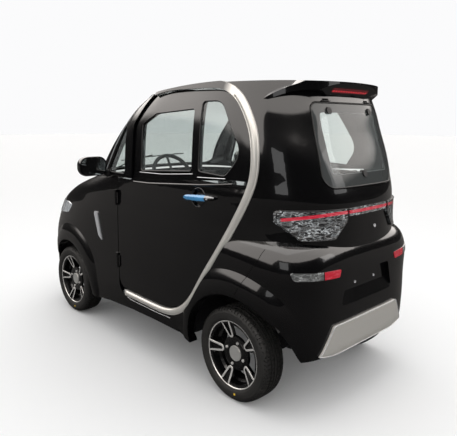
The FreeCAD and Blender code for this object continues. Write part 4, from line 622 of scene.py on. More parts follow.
def skins(*names):
    """Search trees of CAD nodes, for laying trim on them."""
    trees = []
    for name in names:
        bm = merged_node(name)
        trees.append(BVHTree.FromBMesh(bm))
        bm.free()
    return trees


def on_skin(points, trees, inward, lift=0.0):
    """Moves points along a direction onto the first surface that they meet."""
    inward = Vector(inward).normalized()
    landed = []
    for point in points:
        hits = [tree.ray_cast(Vector(point) - inward * 1.0, inward) for tree in trees]
        hits = [(hit[3], hit[0]) for hit in hits if hit[0] is not None]
        if hits:
            landed.append(min(hits, key=lambda hit: hit[0])[1] - inward * lift)
    if not landed:
        raise RuntimeError("no surface under the line from " + str(tuple(points[0])))
    return landed


def moulding(name, paths, radius, body, material, closed=True, hides=(), shares=None):
    """Round strip along one or more paths of points, made with a bevelled curve."""
    curve = bpy.data.curves.new(name, "CURVE")
    curve.dimensions = "3D"
    curve.bevel_depth = radius
    curve.bevel_resolution = 3
    curve.use_fill_caps = not closed
    for row, points in enumerate(paths):
        spline = curve.splines.new("POLY")
        spline.points.add(len(points) - 1)
        for index, point in enumerate(points):
            spline.points[index].co = (point[0], point[1], point[2], 1.0)
            spline.points[index].radius = shares[row][index] if shares else 1.0
        spline.use_cyclic_u = closed
    drawn = bpy.data.objects.new(name + "_path", curve)
    bpy.context.scene.collection.objects.link(drawn)
    mesh = bpy.data.meshes.new_from_object(drawn)
    bpy.data.objects.remove(drawn)
    bpy.data.curves.remove(curve)
    mesh.name = name
    bm = bmesh.new()
    bm.from_mesh(mesh)
    bpy.data.meshes.remove(mesh)
    return finish_piece(bm, name, body, [material], 50.0, hides)


# Wheels
TYRE_RADIUS = 252 * MM
LIP_PLANE = 63.5 * MM


def tyre_outline():
    """Closed cross-section of the tyre from its tread round to the bead."""
    half = []
    tread = [(0, 0), (6, 0), (7, -6), (12, -6), (13, 0), (28, -0.4), (29, -6.5), (35, -6.5), (36, -1),
             (49, -2.0), (57, -4.0), (64, -9.5), (68.5, -17)]
    for x, drop in tread:
        half.append((x * MM, TYRE_RADIUS + drop * MM))
    wall = [(70.6, 226), (71.4, 225), (71.2, 223), (72.4, 214), (72.3, 203), (71.2, 200), (71.8, 198),
            (69.8, 191), (68.4, 190), (67.6, 186), (64, 181.6), (60, 180), (57, 172), (57, 166)]
    half.extend((x * MM, radius * MM) for x, radius in wall)
    left = [(-x, radius) for x, radius in reversed(half[1:])]
    return left + half


def build_tyre(name, side, centre, body, node, materials, settings):
    bm = bmesh.new()
    faces = spun(bm, tyre_outline(), settings.steps)
    bmesh.ops.recalc_face_normals(bm, faces=bm.faces)
    shoulder, middle_rib = [], []
    for face in faces:
        middle = face.calc_center_median()
        radius = math.hypot(middle.y, middle.z)
        turn = math.atan2(middle.z, middle.y) % (2.0 * math.pi)
        index = int(turn / (2.0 * math.pi) * settings.steps)
        if radius < TYRE_RADIUS - 20 * MM:
            continue
        if abs(middle.x) > 36 * MM and index % 3 == 0:
            shoulder.append(face)
        if 13 * MM < abs(middle.x) < 28 * MM and index % 3 == 0:
            middle_rib.append(face)
    bmesh.ops.inset_region(bm, faces=shoulder, thickness=1.2 * MM, depth=-settings.block_depth,
                           use_even_offset=True)
    bm.normal_update()
    bmesh.ops.inset_region(bm, faces=middle_rib, thickness=0.5 * MM, depth=-4.0 * MM, use_even_offset=True)
    paint_dot(bm)
    placed(bm, side, centre)
    return finish_piece(bm, name, body, materials, 28.0, (node,))


def paint_dot(bm):
    """Marks a few sidewall faces for the yellow fitting dot."""
    for face in bm.faces:
        middle = face.calc_center_median()
        radius = math.hypot(middle.y, middle.z)
        turn = math.degrees(math.atan2(middle.z, middle.y))
        if middle.x > 71 * MM and 202 * MM < radius < 214 * MM and abs(turn + 81.0) < 1.6:
            face.material_index = 1


def rim_outline():
    """Closed cross-section of the rim barrel with its bead seats and thin lips."""
    points = [(-63.5, 182), (-58.5, 182), (-56, 172), (-50, 165), (-30, 163), (-26, 150), (10, 150),
              (16, 163), (50, 165), (56, 172), (58.5, 182), (63.5, 182), (63.5, 178.5), (60.5, 176),
              (56, 162), (20, 157), (10, 145), (-26, 145), (-32, 157), (-56, 160), (-60, 168),
              (-63.5, 173)]
    return [(x * MM, radius * MM) for x, radius in points]


def dish_depth(radius):
    """How far the spoke face lies behind the lip plane at a distance from the wheel's centre."""
    share = max(0.0, min(1.0, (radius - 84 * MM) / (96 * MM)))
    return (24.0 - 24.0 * share ** 1.25) * MM


def hairpin_spoke(bm, turn):
    """One forked spoke: a bright hairpin that opens towards the rim, with a dark pocket between its bars."""
    outline = [(182, 34), (160, 29.5), (130, 25), (104, 20)]
    bend = [(104 - 20 * math.sin(angle), 20 * math.cos(angle))
            for angle in (math.radians(degrees) for degrees in range(20, 180, 20))]
    corners = outline + bend + [(radius, -across) for radius, across in reversed(outline)]
    verts = [bm.verts.new((0.0, across * MM, radius * MM)) for radius, across in corners]
    face = bm.faces.new(verts)
    grown = bmesh.ops.extrude_face_region(bm, geom=[face])
    back = [item for item in grown["geom"] if isinstance(item, bmesh.types.BMVert)]
    bmesh.ops.translate(bm, vec=(-22 * MM, 0, 0), verts=back)
    moved = set(verts + back)
    bmesh.ops.recalc_face_normals(bm, faces=list({item for vert in moved for item in vert.link_faces}))
    rounded = bmesh.ops.inset_region(bm, faces=[face], thickness=1.0 * MM, depth=1.0 * MM)
    bright = bmesh.ops.inset_region(bm, faces=[face], thickness=10.0 * MM, depth=0.0)
    pocket = bmesh.ops.inset_region(bm, faces=[face], thickness=1.0 * MM, depth=-9.0 * MM)
    for strip in bright["faces"] + rounded["faces"]:
        strip.material_index = 1
    for item in rounded["faces"] + bright["faces"] + pocket["faces"] + [face]:
        moved.update(item.verts)
    for vert in moved:
        vert.co.x += LIP_PLANE - 1.2 * MM - dish_depth(math.hypot(vert.co.y, vert.co.z))
    bmesh.ops.rotate(bm, cent=(0, 0, 0), matrix=Matrix.Rotation(turn, 3, "X"), verts=list(moved))


def build_rim(name, side, centre, body, node, materials, settings):
    bm = bmesh.new()
    for face in spun(bm, rim_outline(), settings.steps // 2):
        middle = face.calc_center_median()
        if middle.x > 61 * MM and math.hypot(middle.y, middle.z) > 176 * MM:
            face.material_index = 1
    for index in range(settings.spoke_pairs):
        # The pairs stand at 36 degrees and every 72 degrees from there, measured from the rear.
        turn = math.radians(36.0 - 90.0) + 2.0 * math.pi * index / settings.spoke_pairs
        hairpin_spoke(bm, turn)
    hub = [(14, 21), (14, 70), (34, 76), (37.5, 74), (38.5, 70), (37.2, 55), (35.5, 47), (35.5, 21)]
    spun(bm, [(x * MM, radius * MM) for x, radius in hub], 64)
    web = [(22, 70), (22, 96), (33, 92), (36, 84), (36, 70)]
    spun(bm, [(x * MM, radius * MM) for x, radius in web], 64)
    cap = [(30, 0.2), (30, 42), (38, 42), (40.5, 40.5), (41.5, 37), (40.6, 34), (41.4, 20), (41.8, 0.2)]
    for face in spun(bm, [(x * MM, radius * MM) for x, radius in cap], 48):
        face.material_index = 2
    for index in range(4):
        wheel_bolt(bm, math.radians(72.5 - 90.0 + 90.0 * index))
    placed(bm, side, centre)
    return finish_piece(bm, name, body, materials, 32.0, (node,))


def wheel_bolt(bm, turn):
    """Domed hexagon bolt on the 128 mm bolt circle."""
    matrix = (Matrix.Rotation(turn, 4, "X") @ Matrix.Translation((39 * MM, 0, 64 * MM))
              @ Matrix.Rotation(math.radians(90), 4, "Y"))
    made = bmesh.ops.create_cone(bm, cap_ends=True, segments=6, radius1=9 * MM, radius2=8 * MM,
                                 depth=11 * MM, matrix=matrix)
    for face in {face for vert in made["verts"] for face in vert.link_faces}:
        face.material_index = 1
    edges = {edge for vert in made["verts"] for edge in vert.link_edges}
    bmesh.ops.bevel(bm, geom=list(edges), offset=1.2 * MM, segments=2, affect="EDGES", profile=0.5,
                    material=-1)


class FitWheels(bpy.types.Operator):
    """Builds the four tyres and rims over their CAD solids"""
    bl_idname = "microcar.fit_wheels"
    bl_label = "Fit wheels"

    def execute(self, context):
        settings = context.scene.microcar_wheels
        dot = new_material("yellow_fitting_dot", "#c9a514", Roughness=0.6)[0]
        tyre_finish = [tyre_rubber(), dot]
        rim_finish = [gloss_black_alloy(), machined_alloy(), cap_alloy()]
        for end in ("front", "rear"):
            for hand, side in HANDS:
                body = "wheel_" + end + "_" + hand
                centre = joint_place(body + "_spin")
                build_tyre(body + "_tyre_piece", side, centre, body, body + "_tyre", tyre_finish, settings)
                build_rim(body + "_rim_piece", side, centre, body, body + "_rim", rim_finish, settings)
        return {"FINISHED"}


# Seats
def bpy_object(mesh, name):
    item = bpy.data.objects.new(name, mesh)
    bpy.context.scene.collection.objects.link(item)
    return item


def evaluated_mesh(item):
    """Mesh of an object with its modifiers applied."""
    graph = bpy.context.evaluated_depsgraph_get()
    return bpy.data.meshes.new_from_object(item.evaluated_get(graph), depsgraph=graph)


def remove_item(item):
    mesh = item.data
    bpy.data.objects.remove(item)
    bpy.data.meshes.remove(mesh)


def swollen(mesh, settings, low, high, held):
    """Fills a closed cushion with pressure while the face that rests on its board is held."""
    start = bpy_object(mesh, "cushion_start")
    remesh = start.modifiers.new("even_cloth", "REMESH")
    remesh.mode = "VOXEL"
    remesh.voxel_size = settings.voxel
    cloth_mesh = evaluated_mesh(start)
    remove_item(start)
    item = bpy_object(cloth_mesh, "cushion_cloth")
    pins = item.vertex_groups.new(name="board")
    pins.add([vert.index for vert in cloth_mesh.vertices if held(vert.co)], 1.0, "REPLACE")
    cloth = item.modifiers.new("fill", "CLOTH")
    cloth.settings.quality = 4
    cloth.settings.use_pressure = True
    cloth.settings.uniform_pressure_force = settings.pressure
    cloth.settings.effector_weights.gravity = 0.0
    cloth.settings.vertex_group_mass = "board"
    cloth.point_cache.frame_start = 1
    cloth.point_cache.frame_end = 20
    for step in range(1, 21):
        bpy.context.scene.frame_set(step)
    filled = evaluated_mesh(item)
    for vert, old in zip(filled.vertices, cloth_mesh.vertices):
        move = vert.co - old.co
        place = old.co + move * min(1.0, settings.cap / max(move.length, 1e-9))
        vert.co = [min(max(value, floor), roof) for value, floor, roof in zip(place, low, high)]
    remove_item(item)
    bpy.context.scene.frame_set(1)
    return filled


def sew(mesh, low, high, across, seams, face, depth):
    """Presses sewn channels into the crowned face of a cushion."""
    for vert in mesh.vertices:
        reach = (vert.co[face] - low[face]) / (high[face] - low[face])
        front = max(0.0, min(1.0, abs(reach - 0.5) * 4.0 - 0.6))
        nearest = min(abs(vert.co[across] - seam) for seam in seams)
        pull = depth * front * math.exp(-(nearest / (7 * MM)) ** 2)
        side = 1.0 if reach > 0.5 else -1.0
        vert.co[face] -= side * pull


class PadSeats(bpy.types.Operator):
    """Swells the driver's seat and the rear bench from their CAD blocks and sews their channels"""
    bl_idname = "microcar.pad_seats"
    bl_label = "Pad seats"

    def execute(self, context):
        settings = context.scene.microcar_seats
        fabric = woven_seat_cloth()
        up, along = 2, 1
        plans = (
            ("driver_seat_cushion", up, False, 0, (-0.115, 0.115)),
            ("driver_seat_back", along, True, 0, (-0.115, 0.115)),
            ("rear_bench_cushion", up, False, 0, (-0.2, 0.0, 0.2)),
            ("rear_bench_back", along, True, 0, (-0.2, 0.0, 0.2)),
        )
        for node, face, behind, across, seams in plans:
            low, high = [Vector(corner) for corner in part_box(node)]
            inner_low, inner_high = low.copy(), high.copy()
            for axis in range(3):
                inner_low[axis] += 9 * MM
                inner_high[axis] -= 9 * MM
            if behind:
                inner_high[face] = high[face]
            else:
                inner_low[face] = low[face]
            bm = bmesh.new()
            rounded_box(bm, inner_low, inner_high, 28 * MM, 4)
            mesh = bpy.data.meshes.new(node + "_cushion")
            bm.to_mesh(mesh)
            bm.free()
            if behind:
                held = lambda place, edge=high[face], axis=face: place[axis] > edge - 10 * MM
            else:
                held = lambda place, edge=low[face], axis=face: place[axis] < edge + 10 * MM
            filled = swollen(mesh, settings, low, high, held)
            sew(filled, low, high, across, seams, face, 9 * MM)
            filled.shade_smooth()
            piece = add_piece(filled, node + "_cushion", "body", [fabric], (node,))
            smooth = piece.modifiers.new("soft_weave", "SUBSURF")
            smooth.levels = smooth.render_levels = 1
        return {"FINISHED"}


# Painted and moulded panels
class PaintPanels(bpy.types.Operator):
    """Gives every CAD node its real finish"""
    bl_idname = "microcar.paint_panels"
    bl_label = "Paint panels"

    def execute(self, context):
        settings = context.scene.microcar_paint
        plastic = moulded_plastic()
        finishes = {
            "black_paint": clear_coated_paint(settings),
            "silver_paint": satin_silver_paint(settings),
            "black_plastic": plastic,
            "glass_clear": window_glass(settings),
            "lamp_clear": clear_lens(),
            "lamp_red": red_lens(),
            "tyre_rubber": tyre_rubber(),
            "rim_alloy": gloss_black_alloy(),
            "frame_steel": painted_steel(),
            "cast_steel": cast_iron(),
            "seat_fabric": woven_seat_cloth(),
            "mirror_silver": silvered_mirror(),
            "floor_mat": plastic,
            "handle_film": blue_film(),
            "bright_metal": chrome_plate(),
        }
        slots = {entry["node"]: entry["material_slot"] for entry in frame["record"]["subparts"]}
        for name, node in frame["nodes"].items():
            node.data.materials.clear()
            node.data.materials.append(finishes[slots[name]])
        wrapped = film_wrapped_lamp()
        low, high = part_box("hatch_glass")
        special = {
            "tail_lamps": wrapped,
            "light_bar": wrapped,
            "rear_reflectors": two_part_reflector(),
            "side_ribbons": ribbon_channel_paint(settings),
            "steering_wheel": moulded_plastic("moulded_wheel_polyurethane", "#3b3c3e"),
            "hatch_glass": banded_glass(settings, Vector(low), Vector(high)),
        }
        for name, material in special.items():
            frame["nodes"][name].data.materials[0] = material
        return {"FINISHED"}


# Ribbons, seals and joints
def ribbon_outward(place):
    """Direction that the side ribbon faces at a place along its run."""
    side = 1.0 if place.x > 0 else -1.0
    return Vector((0.75 * side, max(0.0, place.y - 0.7) * 1.2, max(0.0, place.z - 1.2) * 1.6)).normalized()


def ribbon_centre(loop):
    """Middle line and half widths of one ribbon length, from its front tip to its seam at the waist."""
    tip = min(range(len(loop)), key=lambda index: loop[index].y)
    turned = loop[tip:] + loop[:tip]
    nearest = min(abs(place.z - WAIST) for place in turned)
    seam = [index for index, place in enumerate(turned) if abs(place.z - WAIST) < nearest + 1.0 * MM]
    sides = [turned[:seam[0] + 1], [turned[0]] + turned[:seam[-1] - 1:-1]]
    rows = [evenly(side, 140) for side in sides]
    middle = [a.lerp(b, 0.5) for a, b in zip(*rows)]
    # Each point takes its width from the nearest point across, not from the one with its number.
    halves = [min((a - b).length for b in rows[1]) / 2.0 for a in rows[0]]
    return middle, halves


def side_line(places, count, side, nodes, lift=0.0):
    """Evenly spaced points along a line given as (y, z), laid on one side of the car."""
    return on_skin(evenly([Vector((0, y, z)) for y, z in places], count), skins(*nodes), (-side, 0, 0), lift)


class FitTrim(bpy.types.Operator):
    """Lays the ribbons, seals, bright strips and panel joints on the panels"""
    bl_idname = "microcar.fit_trim"
    bl_label = "Fit trim"

    def execute(self, context):
        settings = context.scene.microcar_trim
        self.fit_ribbons(settings, satin_silver_paint(context.scene.microcar_paint))
        self.fit_seals(settings, seal_rubber())
        bright, dark = chrome_plate(), joint_shadow()
        lacquer = clear_coated_paint(context.scene.microcar_paint)
        for hand, side in HANDS:
            self.fit_strips(hand, side, bright)
            self.fit_door_rolls(hand, side, lacquer)
            self.fit_fender_joint(settings, hand, side, dark)
        back = pane_edges("rear_valance", lambda place: Vector((0, 1, 0)))
        moulding("valance_edge", back, 2.0 * MM, "body", bright)
        self.fit_bonnet_joint(settings, dark)
        return {"FINISHED"}

    def fit_ribbons(self, settings, silver):
        lengths = [ribbon_centre(loop) for loop in pane_edges("side_ribbons", ribbon_outward, 0.604, 1.0)]
        radius = 19 * MM
        paths, shares = [], []
        for side in (1.0, -1.0):
            # The lower length runs from the sill to the waist, the upper one on to the roof.
            lower, upper = sorted((item for item in lengths if item[0][0].x * side > 0),
                                  key=lambda item: item[0][0].z)
            middle = lower[0][3:] + upper[0][-2:2:-1]
            halves = lower[1][3:] + upper[1][-2:2:-1]
            path, row = [], []
            for place, half in zip(middle, halves):
                high = max(0.0, min(1.0, (place.z - 1.50) / 0.10))
                roof = high * max(0.0, min(1.0, (0.80 - place.y) / 0.20))
                share = min(half, radius) / radius * (1.0 - 0.60 * roof)
                path.append(place - ribbon_outward(place) * settings.ribbon_sink * share)
                row.append(share)
            paths.append(path)
            shares.append(row)
        moulding("side_ribbon_mouldings", paths, radius, "body", silver, closed=False,
                 shares=shares)

    def fit_seals(self, settings, rubber):
        left = lambda place: Vector((1, 0, 0))
        right = lambda place: Vector((-1, 0, 0))
        ahead = lambda place: Vector((0, -0.85, 0.53))
        behind = lambda place: Vector((0.5 * place.x, 0.94, 0.30)).normalized()
        # Each limit lies clear of the way that any face of its pane looks.
        plans = (("door_left_glass_seal", "door_left", 1.2, (("door_left_glass", left, 0.45),)),
                 ("door_right_glass_seal", "door_right", 1.2, (("door_right_glass", right, 0.45),)),
                 ("windscreen_seal", "body", 1.3, (("windscreen", ahead, 0.444),)),
                 ("hatch_glass_seal", "hatch", 0.8, (("hatch_glass", behind, 0.45),)),
                 ("pillar_glass_seals", "body", 1.0, (("pillar_glasses", left, 0.45),
                                                      ("pillar_glasses", right, 0.45))),
                 ("tail_lamp_gaskets", "body", 0.5, (("tail_lamps", behind, 0.334),)))
        for name, body, share, rims in plans:
            loops = [loop for rim in rims for loop in pane_edges(*rim)]
            moulding(name, loops, settings.seal_radius * share, body, rubber)

    def fit_strips(self, hand, side, bright):
        """Bright strips under the side windows, along the sill step and up the front pillar."""
        windows = (((0.075, 1.146), (0.30, 1.150), (0.575, 1.171)),
                   ((0.615, 1.157), (0.72, 1.160), (0.815, 1.163)))
        door = ("door_" + hand + "_shell",)
        sill = ((-0.056, 0.332), (-0.013, 0.321), (0.256, 0.316), (0.40, 0.319))
        pillar = ((0.13, 1.612), (0.03, 1.592), (-0.06, 1.53), (-0.15, 1.44), (-0.25, 1.30), (-0.345, 1.13))
        for name, lines, count, nodes, radius, body in (
                ("window_strips_", windows, 24, door, 2.2 * MM, "door_" + hand),
                ("sill_strip_", (sill,), 40, ("sills", "front_body", "rear_bumper"), 1.8 * MM, "body"),
                ("pillar_strip_", (pillar,), 40,
                 ("front_pillars", "door_hoops", "roof_panel", "windscreen", "front_body"), 3.5 * MM,
                 "body")):
            paths = [side_line(line, count, side, nodes) for line in lines]
            moulding(name + hand, paths, radius, body, bright, closed=False)

    def fit_door_rolls(self, hand, side, lacquer):
        """The rolled rim of the door cup and the rolled edge of the belt over it."""
        door, rim = ("door_" + hand + "_shell",), 50.5 * MM
        cup = [Vector((0, 0.647 + rim * math.cos(turn), 1.054 + rim * math.sin(turn)))
               for turn in (2.0 * math.pi * step / 48 for step in range(48))]
        ring = on_skin(cup, skins(*door), (-side, 0, 0))
        moulding("door_cup_rim_" + hand, [ring], 2.2 * MM, "door_" + hand, lacquer)
        belt = ((0.03, 1.084), (0.20, 1.088), (0.65, 1.118), (0.87, 1.139))
        edge = side_line(belt, 60, side, door, -3.5 * MM)
        moulding("belt_roll_" + hand, [edge], 7.0 * MM, "door_" + hand, lacquer, closed=False)

    def fit_fender_joint(self, settings, hand, side, dark):
        """Dark joint between the rear fender and the bumper."""
        fender = ((0.541, 1.088, 0.848), (0.574, 1.074, 0.800), (0.591, 1.038, 0.741), (0.607, 1.007, 0.688),
                  (0.622, 0.986, 0.647), (0.626, 0.966, 0.610))
        line = evenly([Vector((x * side, y, z)) for x, y, z in fender], 30)
        path = on_skin(line, skins("rear_bumper", "rear_body"), (-side, 0, 0))
        moulding("fender_joint_" + hand, [path], settings.seam_radius, "body", dark,
                 closed=False)

    def fit_bonnet_joint(self, settings, dark):
        half = ((0.455, -0.50), (0.452, -0.75), (0.43, -0.98), (0.37, -1.13), (0.26, -1.20), (0.12, -1.225),
                (0, -1.23))
        above = 1.2
        whole = [Vector((x, y, above)) for x, y in half]
        whole += [Vector((-x, y, above)) for x, y in reversed(half[:-1])]
        path = on_skin(evenly(whole, 90), skins("front_body"), (0, 0, -1))
        moulding("bonnet_joint", [path], settings.seam_radius, "body", dark, closed=False)


# Locks, grips, liners and the wiper
def stepped_disc(bm, matrix, segments, radii, height, step, sink, is_top):
    """Tapered round head with a ring pressed into its top."""
    made = bmesh.ops.create_cone(bm, cap_ends=True, segments=segments, radius1=radii[0], radius2=radii[1],
                                 depth=height, matrix=matrix)
    around = {face for vert in made["verts"] for face in vert.link_faces}
    top = [face for face in around if len(face.verts) > 8 and is_top(face.calc_center_median())]
    bmesh.ops.inset_region(bm, faces=top, thickness=step, depth=0.0)
    bmesh.ops.inset_region(bm, faces=top, thickness=0.4 * MM, depth=-sink)


class FitFittings(bpy.types.Operator):
    """Adds the locks, plate screws, door grips, arch liners and the wiper"""
    bl_idname = "microcar.fit_fittings"
    bl_label = "Fit fittings"

    def execute(self, context):
        bright = chrome_plate()
        dark = moulded_plastic("moulded_liner_polyethylene", "#0b0b0c")
        self.add_liners("front_arch_liners", -0.8425, 0.331, 0.285, (34, 146), dark)
        self.add_liners("rear_arch_liners", 0.9205, 0.351, 0.335, (38, 150), dark)
        self.add_screws(bright)
        film = blue_film()
        for hand, side in HANDS:
            self.add_key_barrel(hand, side, bright)
            self.add_grip(hand, side, film)
        self.add_wiper(dark)
        return {"FINISHED"}

    def add_liners(self, name, y, radius, inner, angles, dark):
        """Half-round liners that close the wheel arches to the inside."""
        outer, lean, wall, hub_height = 0.560, 0.03, 0.14, 0.252
        start, stop = (math.radians(angle) for angle in angles)
        bm = bmesh.new()
        for side in (1.0, -1.0):
            outline = ((outer, radius), (inner + lean, radius), (inner, radius - lean),
                       (inner, radius - wall))
            verts = [bm.verts.new((side * x, r, 0.0)) for x, r in outline]
            edges = [bm.edges.new((verts[i], verts[i + 1])) for i in range(len(verts) - 1)]
            bmesh.ops.rotate(bm, cent=(0, 0, 0), matrix=Matrix.Rotation(start, 3, "X"), verts=verts)
            bmesh.ops.spin(bm, geom=verts + edges, cent=(0, 0, 0), axis=(1, 0, 0), angle=stop - start,
                           steps=36)
        bmesh.ops.translate(bm, vec=(0, y, hub_height), verts=bm.verts)
        bmesh.ops.recalc_face_normals(bm, faces=bm.faces)
        bmesh.ops.solidify(bm, geom=bm.faces[:], thickness=2.5 * MM)
        finish_piece(bm, name, "body", [dark], 40.0)

    def add_screws(self, bright):
        """The tail lock and the two plate screws."""
        bm = bmesh.new()
        rear = skins("rear_bumper", "rear_body")
        for x, z, radius in ((-0.065, 0.915, 10.0 * MM), (0.088, 0.641, 7.5 * MM), (-0.088, 0.641, 7.5 * MM)):
            # The screws stand over real holes, so the seat is found beside the hole.
            aside = Vector((0, 0, 1.6 * radius))
            seat = on_skin([Vector((x, 2.0, z)) + aside], rear, (0, -1, 0))[0] - aside
            matrix = (Matrix.Translation(seat + Vector((0, 1.2 * MM, 0)))
                      @ Matrix.Rotation(math.radians(-90), 4, "X"))
            stepped_disc(bm, matrix, 32, (radius, 0.86 * radius), 4.4 * MM, 0.3 * radius, 1.4 * MM,
                         lambda middle: middle.y > seat.y + 2 * MM)
        finish_piece(bm, "rear_lock_and_screws", "body", [bright], 40.0)

    def add_key_barrel(self, hand, side, bright):
        bm = bmesh.new()
        matrix = (Matrix.Translation((side * 0.6085, 0.738, 1.0602))
                  @ Matrix.Rotation(math.radians(90.0 * side), 4, "Y"))
        stepped_disc(bm, matrix, 28, (7.5 * MM, 6.8 * MM), 3 * MM, 3.0 * MM, 1.2 * MM,
                     lambda middle: abs(middle.x) > 0.6095)
        finish_piece(bm, "door_key_barrel_" + hand, "door_" + hand, [bright], 40.0)

    def add_grip(self, hand, side, film):
        """Door grip: a film-covered bar that swells in the middle and runs out in a pointed tail."""
        stations = ((0.549, 0.602, 1.0500, 0.30), (0.556, 0.602, 1.0502, 0.62), (0.575, 0.602, 1.051, 0.84),
                    (0.615, 0.601, 1.053, 0.94), (0.660, 0.600, 1.055, 1.0), (0.705, 0.598, 1.058, 0.98),
                    (0.735, 0.595, 1.060, 0.86), (0.760, 0.591, 1.062, 0.58), (0.775, 0.587, 1.063, 0.26))
        path = [Vector((side * x, y, z)) for y, x, z, share in stations]
        moulding("door_grip_" + hand, [path], 17.5 * MM, "door_" + hand, film, closed=False,
                 hides=("door_" + hand + "_handle",), shares=[[share for y, x, z, share in stations]])

    def add_wiper(self, dark):
        """Parked wiper: a sprung arm and a blade low on the windscreen."""
        blade = [Vector((0.30 - 0.028 * step, -0.56, 1.165 + 0.0022 * step)) for step in range(21)]
        path = on_skin(blade, skins("windscreen", "front_pillars"), (0, 0.85, -0.53), 9 * MM)
        moulding("wiper_blade", [path], 4.0 * MM, "body", dark, closed=False)
        arm = [path[10] + Vector((0, -0.012, 0.008)),
               path[10].lerp(path[0], 0.5) + Vector((0.02, -0.03, -0.01)),
               path[0] + Vector((0.02, -0.035, -0.055))]
        moulding("wiper_arm", [evenly(arm, 12)], 5.0 * MM, "body", dark, closed=False)


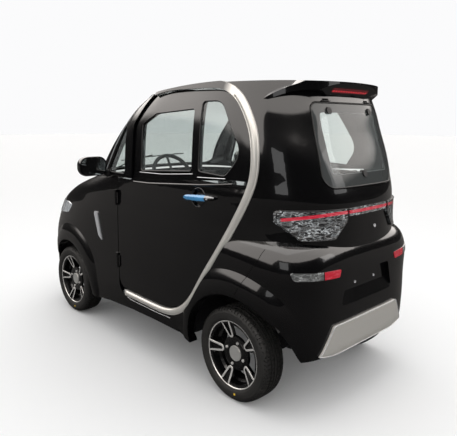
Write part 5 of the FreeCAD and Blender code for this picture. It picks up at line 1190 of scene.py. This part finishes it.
# Studio
class BuildStage(bpy.types.Operator):
    """Pale floor, soft lights and the camera at the photograph's view"""
    bl_idname = "microcar.build_stage"
    bl_label = "Build stage"

    def execute(self, context):
        settings = context.scene.microcar_stage
        scene = context.scene
        bm = bmesh.new()
        bmesh.ops.create_grid(bm, x_segments=1, y_segments=1, size=60.0)
        mesh = bpy.data.meshes.new("studio_floor")
        bm.to_mesh(mesh)
        bm.free()
        floor = bpy.data.objects.new("studio_floor", mesh)
        scene.collection.objects.link(floor)
        mesh.materials.append(studio_floor(settings))
        self.add_room(scene, settings)
        self.softbox("overhead_softbox", (0.0, 0.3, 4.2), (0.0, 0.0, 0.0), 3.6, settings.key_power)
        self.softbox("left_softbox", (4.6, 3.2, 2.4), (0.0, 0.2, 0.7), 1.6, settings.fill_power)
        self.softbox("rear_softbox", (-2.4, 5.0, 2.6), (0.0, 0.6, 0.8), 1.6, settings.fill_power)
        self.add_camera(scene)
        scene.view_settings.view_transform = "Standard"
        return {"FINISHED"}

    def add_room(self, scene, settings):
        """Even pale room; glossy surfaces see it dark at eye level and bright overhead, like a light tent."""
        world = bpy.data.worlds.new("studio_air")
        scene.world = world
        world.use_nodes = True
        tree = world.node_tree
        way = add_node(tree, "ShaderNodeTexCoord").outputs["Generated"]
        axes = add_node(tree, "ShaderNodeSeparateXYZ", {"Vector": way}).outputs
        # A black flag stands to the left of the car's tail, so the rear corner of the cabin stays dark.
        flag_y = add_node(tree, RANGE, {
            "Value": axes["Y"], "From Min": 0.05, "From Max": 0.20, "To Min": 0.0, "To Max": 0.28})
        flag_x = add_node(tree, RANGE, {"Value": axes["X"], "From Min": -0.50, "From Max": -0.35})
        flag = add_node(tree, MATH, {0: flag_y, 1: flag_x}, operation="MULTIPLY")
        lit = add_node(tree, MATH, {0: axes["Z"], 1: flag}, operation="SUBTRACT")
        rise = add_node(tree, RANGE, {
            "Value": lit, "From Min": 0.22, "From Max": 0.29, "To Min": 0.03, "To Max": 3.4},
            interpolation_type="SMOOTHSTEP")
        gloss = seen_in_gloss(tree)
        plain = add_node(tree, MATH, {0: 1.0, 1: gloss}, operation="SUBTRACT")
        open_air = add_node(tree, MATH, {0: plain, 1: settings.air_strength}, operation="MULTIPLY")
        tent = add_node(tree, MATH, {0: gloss, 1: rise}, operation="MULTIPLY")
        feed(tree.nodes["Background"], {
            "Strength": add_node(tree, MATH, {0: open_air, 1: tent}, operation="ADD"),
            "Color": add_node(tree, MIX, {0: gloss, 6: "#fbfbfc", 7: "#efe9e4"}, data_type="RGBA")})

    def softbox(self, name, place, target, size, power):
        data = bpy.data.lights.new(name, "AREA")
        data.shape = "SQUARE"
        data.size = size
        data.energy = power
        lamp = bpy.data.objects.new(name, data)
        lamp.location = place
        aim = Vector(target) - Vector(place)
        lamp.rotation_mode = "QUATERNION"
        lamp.rotation_quaternion = aim.to_track_quat("-Z", "Y")
        bpy.context.scene.collection.objects.link(lamp)

    def add_camera(self, scene):
        """Camera solved from the photograph's wheel ellipses."""
        yaw, pitch, roll = -2.38318, -0.164408, 0.003961
        ahead = Vector((math.sin(yaw) * math.cos(pitch), math.cos(yaw) * math.cos(pitch), math.sin(pitch)))
        level = Vector((math.cos(yaw), -math.sin(yaw), 0.0))
        upright = level.cross(ahead)
        right = math.cos(roll) * level + math.sin(roll) * upright
        up = -math.sin(roll) * level + math.cos(roll) * upright
        data = bpy.data.cameras.new("photo_camera")
        data.sensor_width = 36.0
        data.lens = 39.95
        data.shift_x = -0.0044
        data.shift_y = -0.0234
        data.clip_end = 200.0
        camera = bpy.data.objects.new("photo_camera", data)
        turned = Matrix((right, up, -ahead)).transposed()
        camera.matrix_world = Matrix.Translation((2.274979, 2.678097, 1.439993)) @ turned.to_4x4()
        scene.collection.objects.link(camera)
        scene.camera = camera


class MicrocarPanel(bpy.types.Panel):
    """Lists the steps that dress the microcar"""
    bl_idname = "VIEW3D_PT_microcar"
    bl_label = "Microcar"
    bl_space_type = "VIEW_3D"
    bl_region_type = "UI"
    bl_category = "Microcar"

    def draw(self, context):
        for operator in OPERATORS:
            self.layout.operator(operator.bl_idname)


OPERATORS = (PaintPanels, FitWheels, PadSeats, FitTrim, FitFittings, BuildStage)
SETTINGS = {"microcar_paint": PaintSettings, "microcar_trim": TrimSettings, "microcar_wheels": WheelSettings,
            "microcar_seats": SeatSettings, "microcar_stage": StageSettings}


def register():
    for group in SETTINGS.values():
        bpy.utils.register_class(group)
    for name, group in SETTINGS.items():
        setattr(bpy.types.Scene, name, bpy.props.PointerProperty(type=group))
    for operator in OPERATORS:
        bpy.utils.register_class(operator)
    bpy.utils.register_class(MicrocarPanel)


def unregister():
    bpy.utils.unregister_class(MicrocarPanel)
    for operator in reversed(OPERATORS):
        bpy.utils.unregister_class(operator)
    for name in SETTINGS:
        delattr(bpy.types.Scene, name)
    for group in reversed(list(SETTINGS.values())):
        bpy.utils.unregister_class(group)


def main():
    register()
    bpy.ops.microcar.paint_panels()
    bpy.ops.microcar.fit_wheels()
    bpy.ops.microcar.pad_seats()
    bpy.ops.microcar.fit_trim()
    bpy.ops.microcar.fit_fittings()
    bpy.ops.microcar.build_stage()


if __name__ == "__main__":
    main()
